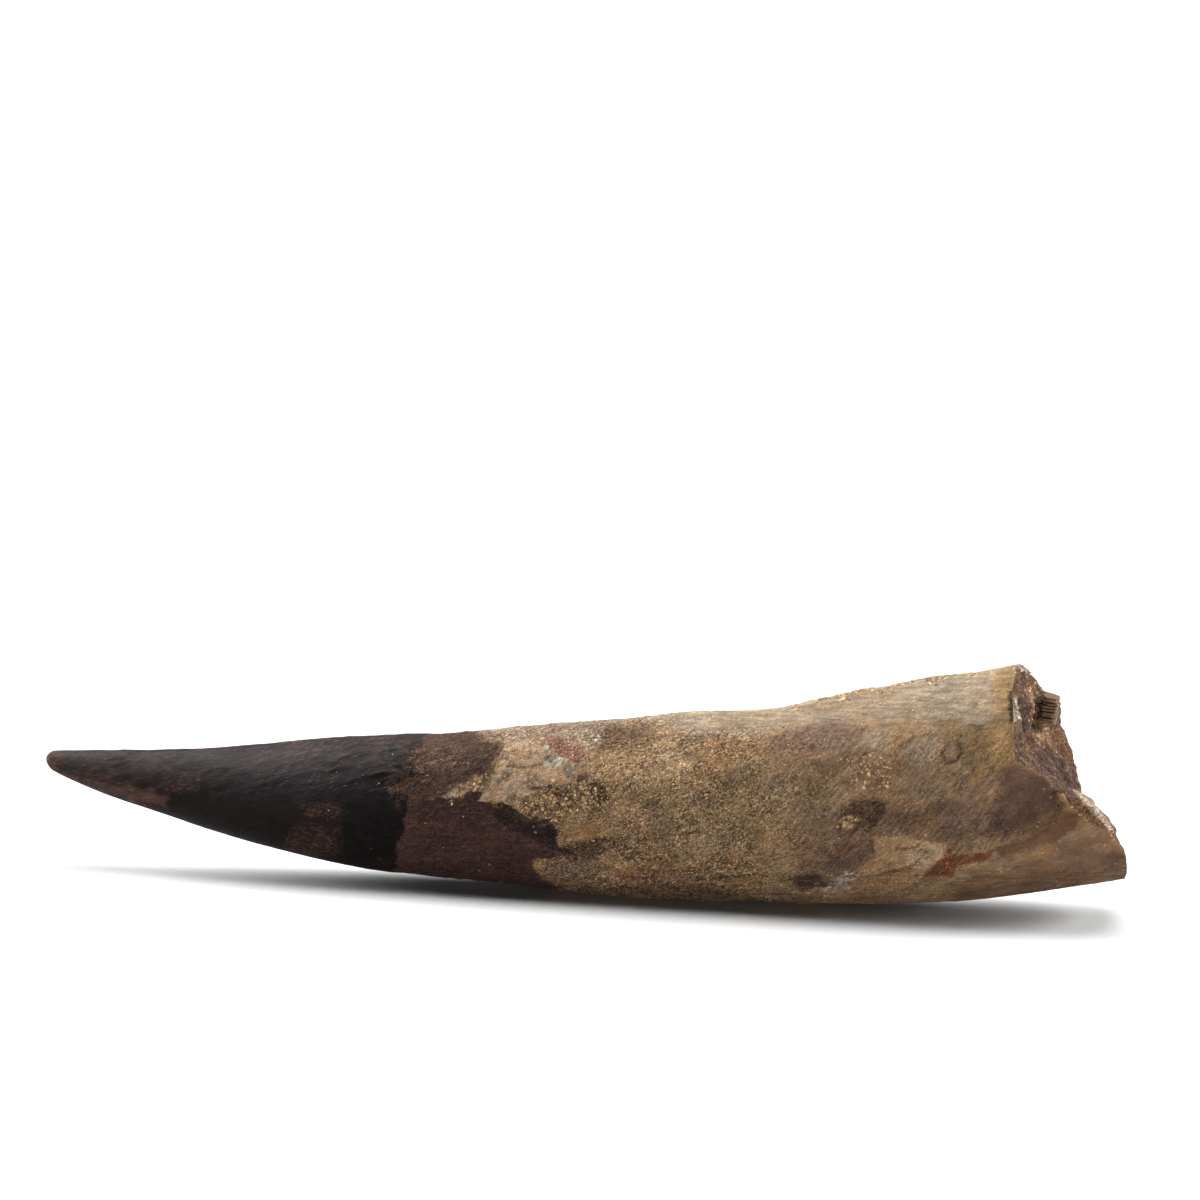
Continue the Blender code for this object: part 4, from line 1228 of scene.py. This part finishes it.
PLATES, PLATE_CORNERS = 9, 18
PLATE_PITCH, PLATE_THICK = 0.4, 0.31
PLATE_RINGS = ((0.93, 0.0), (1.0, 0.2), (1.0, 0.8), (0.93, 1.0))  # share of outline, of thickness
STACK_FOOT = np.array([64.05, 5.6, 24.0])
STACK_HALF = np.array([1.1, 1.9])  # half of a plate's size along the tooth and across it
STACK_TILT = radians(-9)  # in the side view
PLATE_BROWN = (0.0741, 0.0428, 0.0252)
CHIPPED, SLID, LIFTED = 0.1, 0.22, 0.12  # how far chance moves an edge, a plate and its height


def plate(step, chance):
    """The points of one plate: its lower middle, four rings and its upper middle. A ring is an
    ellipse with its cosine and sine drawn out to their square roots, which squares its ends,
    and runs clockwise from above."""
    turn = -2 * pi * np.arange(PLATE_CORNERS) / PLATE_CORNERS
    ring = np.stack([np.cos(turn), np.sin(turn)], axis=-1)
    ring = np.sign(ring) * np.sqrt(np.abs(ring)) * STACK_HALF
    ring = ring * (1 + CHIPPED * chance.uniform(-1, 1, (PLATE_CORNERS, 1)))
    ring = ring + SLID * chance.uniform(-1, 1, 2)
    up = PLATE_PITCH * (step + LIFTED * chance.uniform(-1, 1))
    rings = [np.column_stack([ring * share, np.full(PLATE_CORNERS, up + PLATE_THICK * high)])
             for share, high in PLATE_RINGS]
    lower, upper = [[[*ring.mean(axis=0), end]] for end in (up, up + PLATE_THICK)]
    return np.concatenate([lower, *rings, upper])


stack = np.concatenate([plate(step, chance) for step in range(PLATES)])
x, y, z = stack.T
tilt_x, tilt_z = cos(STACK_TILT), sin(STACK_TILT)
tilted = np.stack([x * tilt_x - z * tilt_z, y, x * tilt_z + z * tilt_x], axis=-1)
plate_points = len(stack) // PLATES
plate_sides = [
    [corner + step * plate_points for corner in side]
    for step in range(PLATES)
    for side in ringed_faces(len(PLATE_RINGS), PLATE_CORNERS, plate_points - 1)
]
made = bpy.data.meshes.new("wall_plates")
made.from_pydata(((tilted + STACK_FOOT) * MM).tolist(), [], plate_sides)
made.materials.append(plain_material("layered_wall", PLATE_BROWN, 0.8, sheen=0.15))
plates = put("wall_plates", made)
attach(plates, "root")
